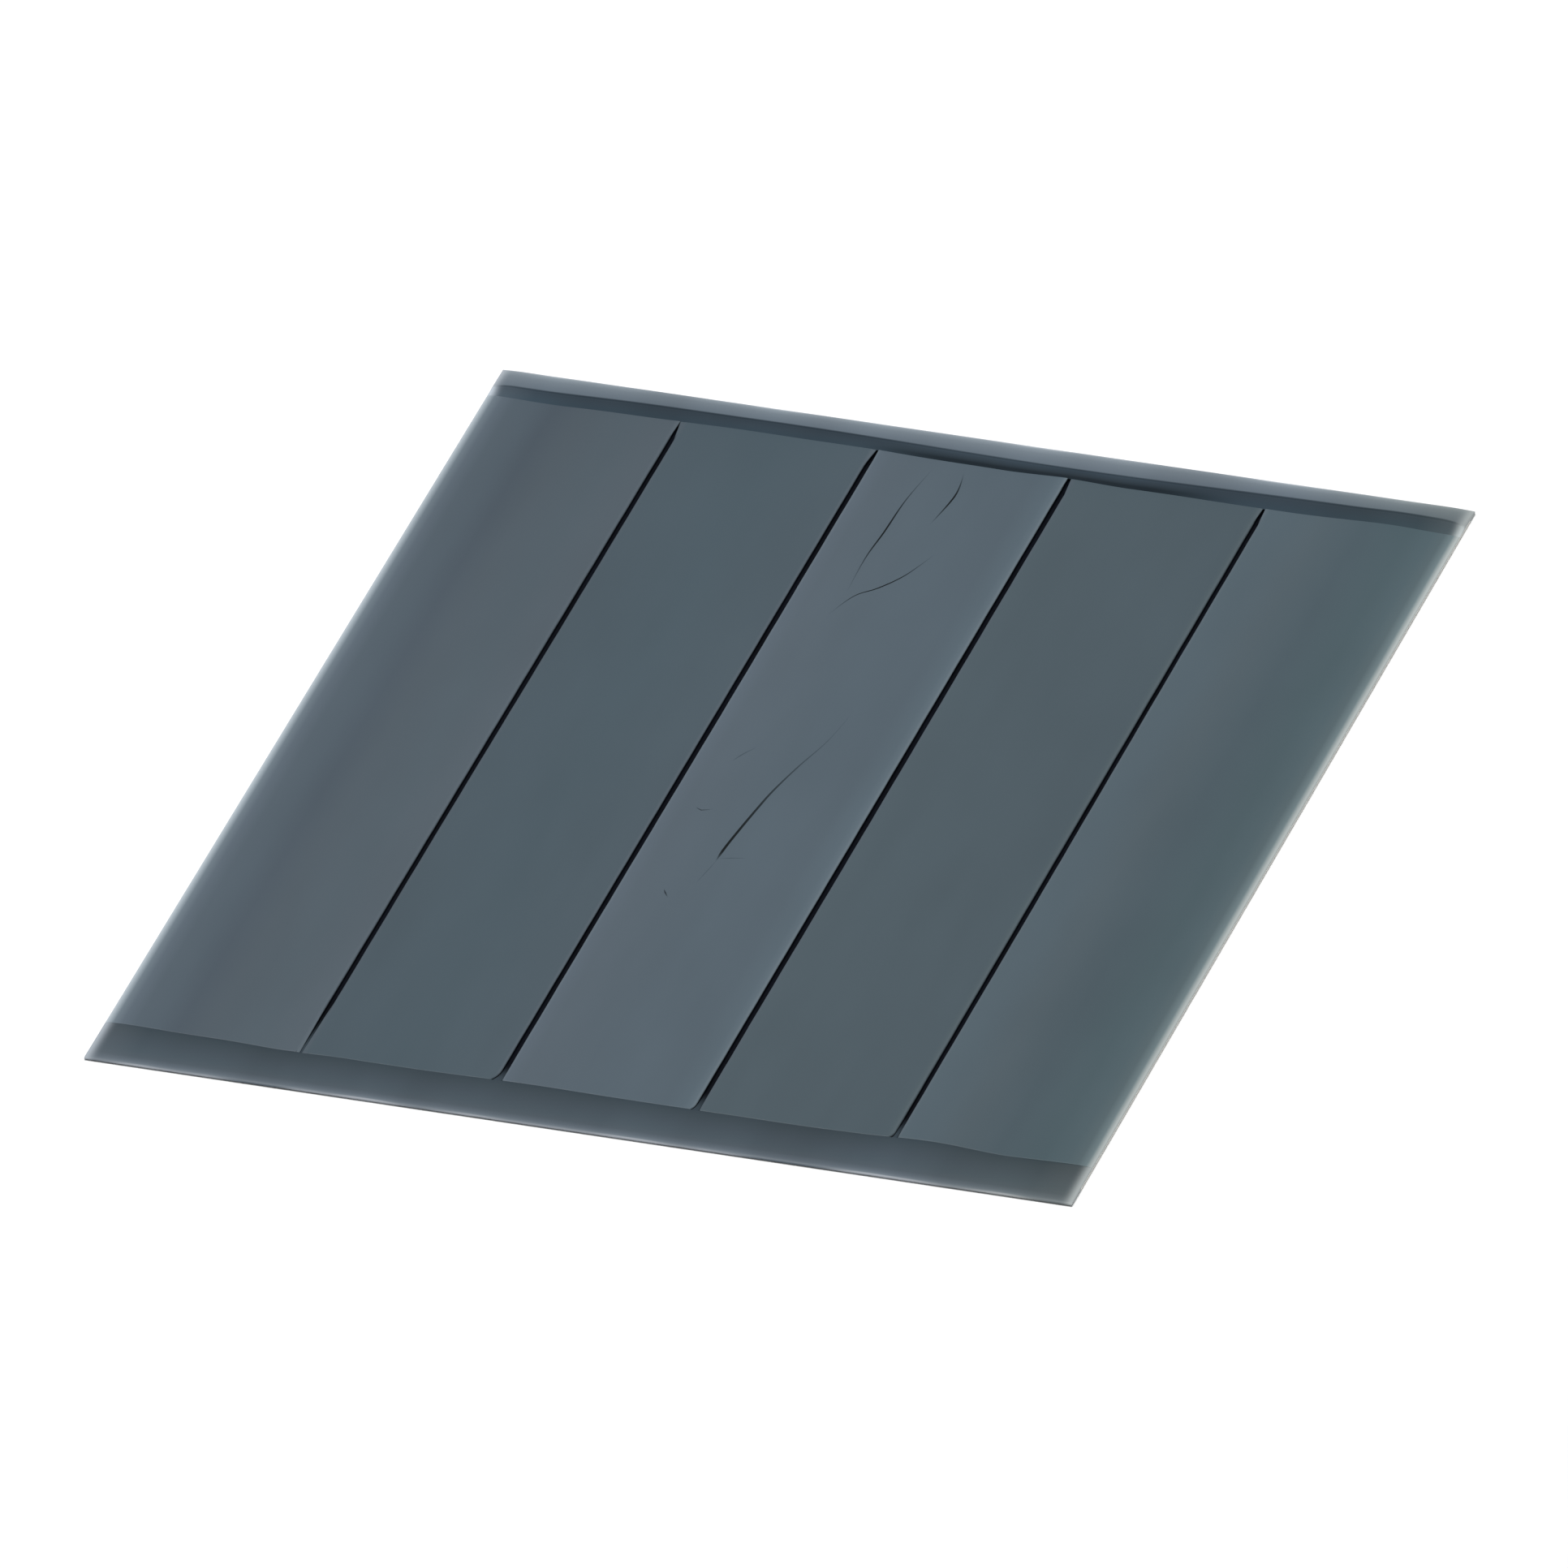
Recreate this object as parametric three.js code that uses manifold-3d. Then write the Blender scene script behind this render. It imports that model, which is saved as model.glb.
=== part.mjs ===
// A flexible solar sheet: five thin-film strips side by side, joined by four elastomer seam hinges,
// with a low moulded hem along the front and a raised round rail along the back.
// Millimetres. +X runs across the strips, +Y from the hem to the rail, +Z up.
// The origin is the middle of the underside, on the surface that the sheet lies on.
import * as THREE from "three";
import { mergeVertices } from "three/addons/utils/BufferGeometryUtils.js";
import Module from "manifold-3d";

const wasm = await Module();
wasm.setup();

// Outline and strips
const SHEET_WIDTH = 600;
const SHEET_DEPTH = 850;
const STRIP_COUNT = 5;
const SEAM_GAPS = [3, 3.8, 3.8, 3.2]; // between the strips, from the left
const FIT_GAP = 0.1; // a hinge's clearance to the strip or hem beside it
const POCKET_GAP = 0.3; // clearance round a piece that lies in a pocket

// Heights above the underside
const FLANGE_TOP = 0.3;
const BACKSHEET_TOP = 0.6;
const CELL_BOTTOM = 1.3;
const LAMINATE_TOP = 1.5;
const RIBBON_TOP = 1.8;
const JUMPER_TOP = 2.1;
const FILM_TOP = 3;
const RAIL_TOP = 5.6;

// Quarter ellipses that round the top corners: small at a seam, long and soft at the outer edges
const SEAM_ROLL = { width: 1, height: 1 };
const OUTER_ROLL = { width: 14, height: 1.2 };
const RAIL_END_ROLL = { width: 16, height: 3.8 };

// Front hem
const HEM_DEPTH = 40.5;
const HEM_NOSE_DEPTH = 3;
const HEM_NOSE_CENTRE = 0.9;
const HEM_NOSE_TOP = 2;
const HEM_CREST = 3;
const HEM_INNER_TOP = 2.6;

// Back rail: a crest with a long round slope to the back edge and a hollow flank down to the film
const RAIL_DEPTH = 32.5;
const RAIL_EDGE_TOP = 1.8;
const RAIL_FOOT_TOP = 2.2;
const CREST_FROM_BACK = 20.5;
const CREST_ROUND = { width: 2.5, height: 1.7 };
const FLANK_HOLLOW = 1; // how far behind the flank's top its hollow is pulled towards the film

// How far the laminate runs in under the hem and the rail
const LAMINATE_UNDER_HEM = 21.5;
const LAMINATE_UNDER_RAIL = 22;

// Seam hinge
const FLANGE_WIDTH = 6;
const WEDGE_HALF_AT_BOTTOM = 0.4;
const WEDGE_HALF_ANGLE = THREE.MathUtils.degToRad(36);

// Cell, ribbons, jumpers and terminal pads
const CELL_SIDE_MARGIN = 5;
const CELL_END_MARGIN = 6;
const RIBBON_WIDTH = 6;
const RIBBON_OVER_CELL = 3;
const JUMPER_WIDTH = 5;
const JUMPER_LAP = 6;
const PAD_WIDTH = 12;
const PAD_FOOT_DEPTH = 8;
const PAD_FOOT_TOP = 0.5;
const PAD_RISER_DEPTH = 2;

const CURVE_SEGMENTS = 5;

// Places worked out from the driving dimensions
const STRIP_PITCH = SHEET_WIDTH / STRIP_COUNT;
const SEAM_COUNT = STRIP_COUNT - 1;
const FRONT = -SHEET_DEPTH / 2;
const BACK = SHEET_DEPTH / 2;
const FILM_FRONT = FRONT + HEM_DEPTH;
const FILM_BACK = BACK - RAIL_DEPTH;
const LAMINATE_FRONT = FILM_FRONT - LAMINATE_UNDER_HEM;
const LAMINATE_BACK = FILM_BACK + LAMINATE_UNDER_RAIL;
const CELL_FRONT = LAMINATE_FRONT + CELL_END_MARGIN;
const CELL_BACK = LAMINATE_BACK - CELL_END_MARGIN;
const WIDEST_GAP = Math.max(...SEAM_GAPS);
const CELL_HALF_WIDTH = STRIP_PITCH / 2 - WIDEST_GAP / 2 - CELL_SIDE_MARGIN;
const FRONT_RIBBON = [CELL_FRONT + RIBBON_OVER_CELL - RIBBON_WIDTH, CELL_FRONT + RIBBON_OVER_CELL];
const BACK_RIBBON = [CELL_BACK - RIBBON_OVER_CELL, CELL_BACK - RIBBON_OVER_CELL + RIBBON_WIDTH];

const FILM = { color: 0x525e65, roughness: 0.38, metalness: 0 };
const HEM = { color: 0x46525a, roughness: 0.42, metalness: 0 };
const RAIL = { color: 0x66727b, roughness: 0.4, metalness: 0 };
const HINGE = { color: 0x070a10, roughness: 0.7, metalness: 0 };
const BACKSHEET = { color: 0x2a3035, roughness: 0.65, metalness: 0 };
const ENCAPSULANT = { color: 0xa9b4b8, roughness: 0.3, metalness: 0 };
const CELL = { color: 0x1b2530, roughness: 0.3, metalness: 0.4 };
const TINNED_COPPER = { color: 0xb8bcbe, roughness: 0.35, metalness: 1 };

// Solids

function solidOf(geometry) {
  const bare = geometry.index ? geometry.toNonIndexed() : geometry.clone();
  bare.deleteAttribute("normal");
  bare.deleteAttribute("uv");
  const merged = mergeVertices(bare, 1e-4);
  const vertProperties = new Float32Array(merged.attributes.position.array);
  const triVerts = new Uint32Array(merged.index.array);
  return new wasm.Manifold(new wasm.Mesh({ numProp: 3, vertProperties, triVerts }));
}

function geometryOf(solid) {
  const mesh = solid.getMesh();
  const positions = new THREE.BufferAttribute(new Float32Array(mesh.vertProperties), mesh.numProp);
  const geometry = new THREE.BufferGeometry().setAttribute("position", positions);
  return geometry.setIndex(new THREE.BufferAttribute(new Uint32Array(mesh.triVerts), 1));
}

function cut(geometry, ...tools) {
  const whole = tools.reduce((solid, tool) => solid.subtract(solidOf(tool)), solidOf(geometry));
  return geometryOf(whole);
}

function join(geometry, ...others) {
  const whole = others.reduce((solid, other) => solid.add(solidOf(other)), solidOf(geometry));
  return geometryOf(whole);
}

function common(geometry, other) {
  return geometryOf(solidOf(geometry).intersect(solidOf(other)));
}

function block([x0, x1], [y0, y1], [z0, z1]) {
  const geometry = new THREE.BoxGeometry(x1 - x0, y1 - y0, z1 - z0);
  return geometry.translate((x0 + x1) / 2, (y0 + y1) / 2, (z0 + z1) / 2);
}

// A YZ section carried along X from x0 to x1.
function alongX(section, [x0, x1]) {
  const options = { depth: x1 - x0, bevelEnabled: false, curveSegments: CURVE_SEGMENTS };
  const turn = new THREE.Matrix4().makeBasis(
    new THREE.Vector3(0, 1, 0),
    new THREE.Vector3(0, 0, 1),
    new THREE.Vector3(1, 0, 0),
  );
  return new THREE.ExtrudeGeometry(section, options).applyMatrix4(turn).translate(x0, 0, 0);
}

// An XZ section carried along Y from y0 to y1.
function alongY(section, [y0, y1]) {
  const options = { depth: y1 - y0, bevelEnabled: false, curveSegments: CURVE_SEGMENTS };
  const turn = new THREE.Matrix4().makeBasis(
    new THREE.Vector3(1, 0, 0),
    new THREE.Vector3(0, 0, 1),
    new THREE.Vector3(0, -1, 0),
  );
  return new THREE.ExtrudeGeometry(section, options).applyMatrix4(turn).translate(0, y1, 0);
}

function outline(points) {
  return new THREE.Shape(points.map(([a, b]) => new THREE.Vector2(a, b)));
}

// The ends of a hem or rail lean away from the seam, so that two neighbours can fold up towards
// each other, and the hinge's wedge fills the notch between them.
function notchHalfWidth(z) {
  return WEDGE_HALF_AT_BOTTOM + z * Math.tan(WEDGE_HALF_ANGLE);
}

// Moves the vertices of the end faces of a piece that was carried along X.
function leanEnds(geometry, startShift, endShift) {
  geometry.computeBoundingBox();
  const middle = (geometry.boundingBox.min.x + geometry.boundingBox.max.x) / 2;
  const position = geometry.attributes.position;
  for (let i = 0; i < position.count; i++) {
    const shift = position.getX(i) < middle ? startShift : endShift;
    position.setX(i, position.getX(i) + shift(position.getZ(i)));
  }
  return geometry;
}

const noLean = () => 0;

// Strips, in a frame of their own: x = 0 is the strip's middle

function stripSides(index) {
  const half = STRIP_PITCH / 2;
  const leftIsOuter = index === 1;
  const rightIsOuter = index === STRIP_COUNT;
  return {
    left: leftIsOuter ? -half : SEAM_GAPS[index - 2] / 2 - half,
    right: rightIsOuter ? half : half - SEAM_GAPS[index - 1] / 2,
    leftIsOuter,
    rightIsOuter,
  };
}

// The underside skin. Next to a seam it is thinner, and the hinge's flange lies in that rebate.
function backsheet(index) {
  const { left, right, leftIsOuter, rightIsOuter } = stripSides(index);
  const leftRebate = leftIsOuter ? 0 : FLANGE_WIDTH + FIT_GAP;
  const rightRebate = rightIsOuter ? 0 : FLANGE_WIDTH + FIT_GAP;
  const skin = block([left, right], [LAMINATE_FRONT, LAMINATE_BACK], [FLANGE_TOP, BACKSHEET_TOP]);
  const foot = block(
    [left + leftRebate, right - rightRebate],
    [LAMINATE_FRONT, LAMINATE_BACK],
    [0, BACKSHEET_TOP],
  );
  const sheet = join(skin, foot);
  const end = padEnd(index);
  return end ? cut(sheet, padWindow(end, PAD_FOOT_DEPTH)) : sheet;
}

function encapsulant(index) {
  const { left, right } = stripSides(index);
  const layer = block([left, right], [LAMINATE_FRONT, LAMINATE_BACK], [BACKSHEET_TOP, LAMINATE_TOP]);
  const pocketHalf = CELL_HALF_WIDTH + POCKET_GAP;
  const pocket = block(
    [-pocketHalf, pocketHalf],
    [CELL_FRONT - POCKET_GAP, CELL_BACK + POCKET_GAP],
    [CELL_BOTTOM, FILM_TOP],
  );
  const end = padEnd(index);
  return end ? cut(layer, pocket, padWindow(end, PAD_RISER_DEPTH)) : cut(layer, pocket);
}

function cell() {
  return block([-CELL_HALF_WIDTH, CELL_HALF_WIDTH], [CELL_FRONT, CELL_BACK], [CELL_BOTTOM, LAMINATE_TOP]);
}

function ribbon(depthRange) {
  return block([-CELL_HALF_WIDTH, CELL_HALF_WIDTH], depthRange, [LAMINATE_TOP, RIBBON_TOP]);
}

// An XZ section with a flat top, and a quarter ellipse at each top corner that has a roll.
function rolledSection([left, right], [bottom, top], leftRoll, rightRoll) {
  const shape = new THREE.Shape();
  const quarter = Math.PI / 2;
  shape.moveTo(left, bottom);
  shape.lineTo(right, bottom);
  if (rightRoll) {
    const { width, height } = rightRoll;
    shape.absellipse(right - width, top - height, width, height, 0, quarter);
  } else {
    shape.lineTo(right, top);
  }
  if (leftRoll) {
    const { width, height } = leftRoll;
    shape.absellipse(left + width, top - height, width, height, quarter, 2 * quarter);
  } else {
    shape.lineTo(left, top);
  }
  return shape;
}

function frontFilm(index) {
  const { left, right, leftIsOuter, rightIsOuter } = stripSides(index);
  const leftRoll = leftIsOuter ? OUTER_ROLL : SEAM_ROLL;
  const rightRoll = rightIsOuter ? OUTER_ROLL : SEAM_ROLL;
  const section = rolledSection([left, right], [LAMINATE_TOP, FILM_TOP], leftRoll, rightRoll);
  return alongY(section, [FILM_FRONT, FILM_BACK]);
}

// Hem and rail sections, in YZ

function hemTop(shape) {
  const noseBack = FRONT + HEM_NOSE_DEPTH;
  const noseHeight = HEM_NOSE_TOP - HEM_NOSE_CENTRE;
  shape.quadraticCurveTo((noseBack + FILM_FRONT) / 2, HEM_CREST, noseBack, HEM_NOSE_TOP);
  shape.absellipse(noseBack, HEM_NOSE_CENTRE, HEM_NOSE_DEPTH, noseHeight, Math.PI / 2, Math.PI);
  shape.lineTo(FRONT + HEM_NOSE_CENTRE, 0);
  return shape;
}

function hemSection() {
  const rebate = LAMINATE_FRONT - POCKET_GAP;
  const shape = new THREE.Shape();
  shape.moveTo(rebate, 0);
  shape.lineTo(rebate, RIBBON_TOP);
  shape.lineTo(FILM_FRONT, RIBBON_TOP);
  shape.lineTo(FILM_FRONT, HEM_INNER_TOP);
  return hemTop(shape);
}

function hemWedgeSection() {
  const shape = new THREE.Shape();
  shape.moveTo(FILM_FRONT, 0);
  shape.lineTo(FILM_FRONT, HEM_INNER_TOP);
  return hemTop(shape);
}

function railTop(shape) {
  const crest = BACK - CREST_FROM_BACK;
  const slopeHeight = RAIL_TOP - RAIL_EDGE_TOP;
  const { width, height } = CREST_ROUND;
  const quarter = Math.PI / 2;
  shape.absellipse(crest, RAIL_EDGE_TOP, CREST_FROM_BACK, slopeHeight, 0, quarter);
  shape.absellipse(crest, RAIL_TOP - height, width, height, quarter, 2 * quarter);
  shape.quadraticCurveTo(crest - width - FLANK_HOLLOW, RAIL_FOOT_TOP, FILM_BACK, RAIL_FOOT_TOP);
  return shape;
}

function railSection() {
  const rebate = LAMINATE_BACK + POCKET_GAP;
  const shape = new THREE.Shape();
  shape.moveTo(FILM_BACK, RIBBON_TOP);
  shape.lineTo(rebate, RIBBON_TOP);
  shape.lineTo(rebate, 0);
  shape.lineTo(BACK, 0);
  return railTop(shape);
}

function railWedgeSection() {
  const shape = new THREE.Shape();
  shape.moveTo(FILM_BACK, 0);
  shape.lineTo(BACK, 0);
  return railTop(shape);
}

function edgeMoulding(index, section) {
  const half = STRIP_PITCH / 2;
  const { leftIsOuter, rightIsOuter } = stripSides(index);
  const leftLean = leftIsOuter ? noLean : (z) => notchHalfWidth(z);
  const rightLean = rightIsOuter ? noLean : (z) => -notchHalfWidth(z);
  return leanEnds(alongX(section, [-half, half]), leftLean, rightLean);
}

// Rounds the end of a hem or rail where it is the sheet's outer edge.
function rollOuterEnd(index, moulding, top, roll) {
  const { leftIsOuter, rightIsOuter } = stripSides(index);
  if (!leftIsOuter && !rightIsOuter) return moulding;
  const half = STRIP_PITCH / 2;
  const roof = rolledSection([-half, half], [-1, top], leftIsOuter && roll, rightIsOuter && roll);
  return common(moulding, alongY(roof, [FRONT - 1, BACK + 1]));
}

function frontHem(index) {
  const hem = rollOuterEnd(index, edgeMoulding(index, hemSection()), FILM_TOP, OUTER_ROLL);
  return clearOfJumpers(index, hem, "front");
}

function backRail(index) {
  const rail = rollOuterEnd(index, edgeMoulding(index, railSection()), RAIL_TOP, RAIL_END_ROLL);
  return clearOfJumpers(index, rail, "back");
}

// Jumpers join the strips in series, so they alternate: front, back, front, back

function jumperEnd(seam) {
  return seam % 2 === 1 ? "front" : "back";
}

function jumperRange(end) {
  const [y0, y1] = end === "front" ? FRONT_RIBBON : BACK_RIBBON;
  const middle = (y0 + y1) / 2;
  return [middle - JUMPER_WIDTH / 2, middle + JUMPER_WIDTH / 2];
}

const JUMPER_HALF = WIDEST_GAP / 2 + CELL_SIDE_MARGIN + JUMPER_LAP;

// In the seam's frame: x = 0 is the seam.
function jumper(seam) {
  return block([-JUMPER_HALF, JUMPER_HALF], jumperRange(jumperEnd(seam)), [RIBBON_TOP, JUMPER_TOP]);
}

function jumperPocket(end) {
  const [y0, y1] = jumperRange(end);
  const half = JUMPER_HALF + POCKET_GAP;
  return block([-half, half], [y0 - POCKET_GAP, y1 + POCKET_GAP], [LAMINATE_TOP, JUMPER_TOP + FIT_GAP]);
}

function clearOfJumpers(index, moulding, end) {
  const half = STRIP_PITCH / 2;
  const seams = [[index - 1, -half], [index, half]];
  const pockets = seams
    .filter(([seam]) => seam >= 1 && seam <= SEAM_COUNT && jumperEnd(seam) === end)
    .map(([, x]) => jumperPocket(end).translate(x, 0, 0));
  return pockets.length ? cut(moulding, ...pockets) : moulding;
}

// Seam hinge, in the seam's frame

function wedge(section) {
  const half = WEDGE_HALF_AT_BOTTOM - FIT_GAP;
  const widen = (z) => notchHalfWidth(z) - WEDGE_HALF_AT_BOTTOM;
  return leanEnds(alongX(section, [-half, half]), (z) => -widen(z), widen);
}

function seamHinge(seam) {
  const webHalf = SEAM_GAPS[seam - 1] / 2 - FIT_GAP;
  const flangeHalf = SEAM_GAPS[seam - 1] / 2 + FLANGE_WIDTH;
  const section = outline([
    [-flangeHalf, 0],
    [flangeHalf, 0],
    [flangeHalf, FLANGE_TOP],
    [webHalf, FLANGE_TOP],
    [webHalf, BACKSHEET_TOP],
    [-webHalf, BACKSHEET_TOP],
    [-webHalf, FLANGE_TOP],
    [-flangeHalf, FLANGE_TOP],
  ]);
  const web = alongY(section, [LAMINATE_FRONT, LAMINATE_BACK]);
  const whole = join(web, wedge(hemWedgeSection()), wedge(railWedgeSection()));
  return cut(whole, jumperPocket(jumperEnd(seam)));
}

// Terminal pads: minus under the first strip's back end, plus under the last strip's front end

function padEnd(index) {
  if (index === 1) return "back";
  if (index === STRIP_COUNT) return "front";
  return null;
}

// The riser stands just past the cell's end, under the part of the ribbon that overhangs it.
function padMiddle(end) {
  const overhang = (RIBBON_WIDTH - RIBBON_OVER_CELL) / 2;
  return end === "front" ? CELL_FRONT - overhang : CELL_BACK + overhang;
}

// Runs right through the layer that it is cut from.
function padWindow(end, depth) {
  const half = PAD_WIDTH / 2 + POCKET_GAP;
  const reach = depth / 2 + POCKET_GAP;
  const middle = padMiddle(end);
  return block([-half, half], [middle - reach, middle + reach], [-1, FILM_TOP]);
}

function terminalPad(end) {
  const middle = padMiddle(end);
  const foot = PAD_FOOT_DEPTH / 2;
  const riser = PAD_RISER_DEPTH / 2;
  const section = outline([
    [middle - foot, 0],
    [middle + foot, 0],
    [middle + foot, PAD_FOOT_TOP],
    [middle + riser, PAD_FOOT_TOP],
    [middle + riser, LAMINATE_TOP],
    [middle - riser, LAMINATE_TOP],
    [middle - riser, PAD_FOOT_TOP],
    [middle - foot, PAD_FOOT_TOP],
  ]);
  return alongX(section, [-PAD_WIDTH / 2, PAD_WIDTH / 2]);
}

// The assembly

function piece(name, geometry, material) {
  const mesh = new THREE.Mesh(geometry, new THREE.MeshStandardMaterial(material));
  mesh.name = name;
  return mesh;
}

function strip(index) {
  const group = new THREE.Group();
  group.add(piece(`backsheet_${index}`, backsheet(index), BACKSHEET));
  group.add(piece(`encapsulant_${index}`, encapsulant(index), ENCAPSULANT));
  group.add(piece(`cell_${index}`, cell(), CELL));
  group.add(piece(`bus_front_${index}`, ribbon(FRONT_RIBBON), TINNED_COPPER));
  group.add(piece(`bus_back_${index}`, ribbon(BACK_RIBBON), TINNED_COPPER));
  group.add(piece(`front_film_${index}`, frontFilm(index), FILM));
  group.add(piece(`front_hem_${index}`, frontHem(index), HEM));
  group.add(piece(`back_rail_${index}`, backRail(index), RAIL));
  group.position.x = (index - (STRIP_COUNT + 1) / 2) * STRIP_PITCH;
  return group;
}

function seam(index) {
  const group = new THREE.Group();
  group.add(piece(`seam_hinge_${index}`, seamHinge(index), HINGE));
  group.add(piece(`jumper_${index}`, jumper(index), TINNED_COPPER));
  group.position.x = (index - STRIP_COUNT / 2) * STRIP_PITCH;
  return group;
}

const sheet = new THREE.Group();
for (let index = 1; index <= STRIP_COUNT; index++) sheet.add(strip(index));
for (let index = 1; index <= SEAM_COUNT; index++) sheet.add(seam(index));

const minusPad = piece("terminal_pad_minus", terminalPad("back"), TINNED_COPPER);
minusPad.position.x = (STRIP_PITCH - SHEET_WIDTH) / 2;
const plusPad = piece("terminal_pad_plus", terminalPad("front"), TINNED_COPPER);
plusPad.position.x = (SHEET_WIDTH - STRIP_PITCH) / 2;
sheet.add(minusPad, plusPad);

export default sheet;
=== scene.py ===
"""A flexible solar sheet on a pale studio floor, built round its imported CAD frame.

Lengths inside the shape functions are millimetres; make_piece() turns them into metres.
"""

import math
from collections import namedtuple

import bmesh
import bpy
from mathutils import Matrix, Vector


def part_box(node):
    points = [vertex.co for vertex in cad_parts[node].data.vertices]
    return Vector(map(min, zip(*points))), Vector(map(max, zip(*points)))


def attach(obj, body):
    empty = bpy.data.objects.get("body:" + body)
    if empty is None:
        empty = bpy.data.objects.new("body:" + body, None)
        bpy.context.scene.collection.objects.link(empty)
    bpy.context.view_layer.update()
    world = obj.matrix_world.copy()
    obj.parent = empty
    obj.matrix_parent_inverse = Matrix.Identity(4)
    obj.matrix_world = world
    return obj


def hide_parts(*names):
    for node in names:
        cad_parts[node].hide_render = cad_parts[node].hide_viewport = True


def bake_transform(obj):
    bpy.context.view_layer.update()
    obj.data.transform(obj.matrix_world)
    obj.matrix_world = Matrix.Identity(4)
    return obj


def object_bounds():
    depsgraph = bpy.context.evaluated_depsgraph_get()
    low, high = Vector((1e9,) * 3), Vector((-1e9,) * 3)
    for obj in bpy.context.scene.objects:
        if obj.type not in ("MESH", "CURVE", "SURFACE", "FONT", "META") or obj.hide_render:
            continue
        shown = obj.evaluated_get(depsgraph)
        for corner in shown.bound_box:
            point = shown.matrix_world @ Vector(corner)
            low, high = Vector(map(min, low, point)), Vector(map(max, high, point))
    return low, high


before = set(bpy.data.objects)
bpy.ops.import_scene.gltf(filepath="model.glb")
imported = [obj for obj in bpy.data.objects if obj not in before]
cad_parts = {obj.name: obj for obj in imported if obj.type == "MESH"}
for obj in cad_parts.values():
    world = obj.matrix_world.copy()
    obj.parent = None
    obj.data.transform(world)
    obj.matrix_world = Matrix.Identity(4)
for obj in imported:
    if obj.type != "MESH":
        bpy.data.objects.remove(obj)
cad_low, cad_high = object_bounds()

MM = 0.001
STRIPS = range(1, 6)
SEAMS = range(1, 5)


# ---------------------------------------------------------------- camera

CAMERA_AZIMUTH = math.radians(16.5)
CAMERA_ELEVATION = math.radians(29.81)
CAMERA_DISTANCE = 40.92
CAMERA_AIM = Vector((-0.0003, 0.0003, 0.0006))
LENS_MM = 1600
SENSOR_MM = 36
CLIP_START = 1
CLIP_END = 200


def add_camera():
    """A very long lens far off, in front of the sheet and a little to its right."""
    data = bpy.data.cameras.new("camera")
    data.lens = LENS_MM
    data.sensor_width = SENSOR_MM
    data.clip_start = CLIP_START
    data.clip_end = CLIP_END
    camera = bpy.data.objects.new("camera", data)
    east, north, level = math.sin(CAMERA_AZIMUTH), math.cos(CAMERA_AZIMUTH), math.cos(CAMERA_ELEVATION)
    towards_camera = Vector((east * level, -north * level, math.sin(CAMERA_ELEVATION)))
    camera.location = CAMERA_AIM + towards_camera * CAMERA_DISTANCE
    camera.rotation_euler = (-towards_camera).to_track_quat("-Z", "Y").to_euler()
    bpy.context.collection.objects.link(camera)
    bpy.context.scene.camera = camera


add_camera()


# ---------------------------------------------------------------- places, from the CAD frame


def box_mm(node):
    """The lowest and the highest corner of a CAD node, in millimetres."""
    return [[value / MM for value in corner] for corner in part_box(node)]


film_boxes = {strip: box_mm(f"front_film_{strip}") for strip in STRIPS}
laminate_low, laminate_high = box_mm("encapsulant_3")
jumper_boxes = {seam: box_mm(f"jumper_{seam}") for seam in SEAMS}

HALF_WIDTH = cad_high.x / MM
FRONT = cad_low.y / MM
BACK = cad_high.y / MM
RAIL_TOP = cad_high.z / MM
FILM_FRONT = film_boxes[3][0][1]
FILM_BACK = film_boxes[3][1][1]
FILM_TOP = film_boxes[3][1][2]
LAMINATE_TOP = laminate_high[2]
LAMINATE_FRONT = laminate_low[1]
LAMINATE_BACK = laminate_high[1]
SEAM_X = {seam: (film_boxes[seam][1][0] + film_boxes[seam + 1][0][0]) / 2 for seam in SEAMS}
SEAM_GAP = {seam: film_boxes[seam + 1][0][0] - film_boxes[seam][1][0] for seam in SEAMS}
STRIP_MIDDLE = {strip: (strip - 3) * 2 * HALF_WIDTH / 5 for strip in STRIPS}


# ---------------------------------------------------------------- small helpers for shapes


def smooth(value):
    """0 below 0, 1 above 1, and a soft S between them."""
    value = min(1.0, max(0.0, value))
    return value * value * (3 - 2 * value)


def wave(at, *parts):
    """A sum of sines, each given as (height, wavelength, phase)."""
    return sum(height * math.sin(math.tau * at / length + phase) for height, length, phase in parts)


def quarter(steps):
    """Angles from 0 to 90 degrees in equal steps."""
    return [math.pi / 2 * step / steps for step in range(steps + 1)]


def spread(start, end, step):
    """Evenly spaced values from start to end, both included, about a step apart."""
    count = max(1, round(abs(end - start) / step))
    return [start + (end - start) * index / count for index in range(count + 1)]


def quadratic(first, middle, last, steps):
    """Points on a quadratic curve, both ends included."""
    points = []
    for index in range(steps + 1):
        t = index / steps
        weights = ((1 - t) ** 2, 2 * t * (1 - t), t * t)
        points.append(tuple(sum(w * p[k] for w, p in zip(weights, (first, middle, last))) for k in (0, 1)))
    return points


SHARP_DEGREES = 50  # edges that bend more than this stay crisp


def make_piece(name, points, faces, material, slot, **attributes):
    """A mesh object from millimetre points, with its rest places kept for the materials."""
    mesh = bpy.data.meshes.new(name)
    mesh.from_pydata([[value * MM for value in point] for point in points], [], faces)
    shape = bmesh.new()
    shape.from_mesh(mesh)
    bmesh.ops.recalc_face_normals(shape, faces=shape.faces)
    shape.to_mesh(mesh)
    shape.free()
    mesh.shade_smooth()
    mesh.set_sharp_from_angle(angle=math.radians(SHARP_DEGREES))
    rest = mesh.attributes.new("rest_mm", "FLOAT_VECTOR", "POINT")
    rest.data.foreach_set("vector", [value for point in points for value in point])
    for attribute, values in attributes.items():
        mesh.attributes.new(attribute, "FLOAT", "POINT").data.foreach_set("value", values)
    mesh.materials.append(material)
    piece = bpy.data.objects.new(name, mesh)
    bpy.context.collection.objects.link(piece)
    return piece


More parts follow.
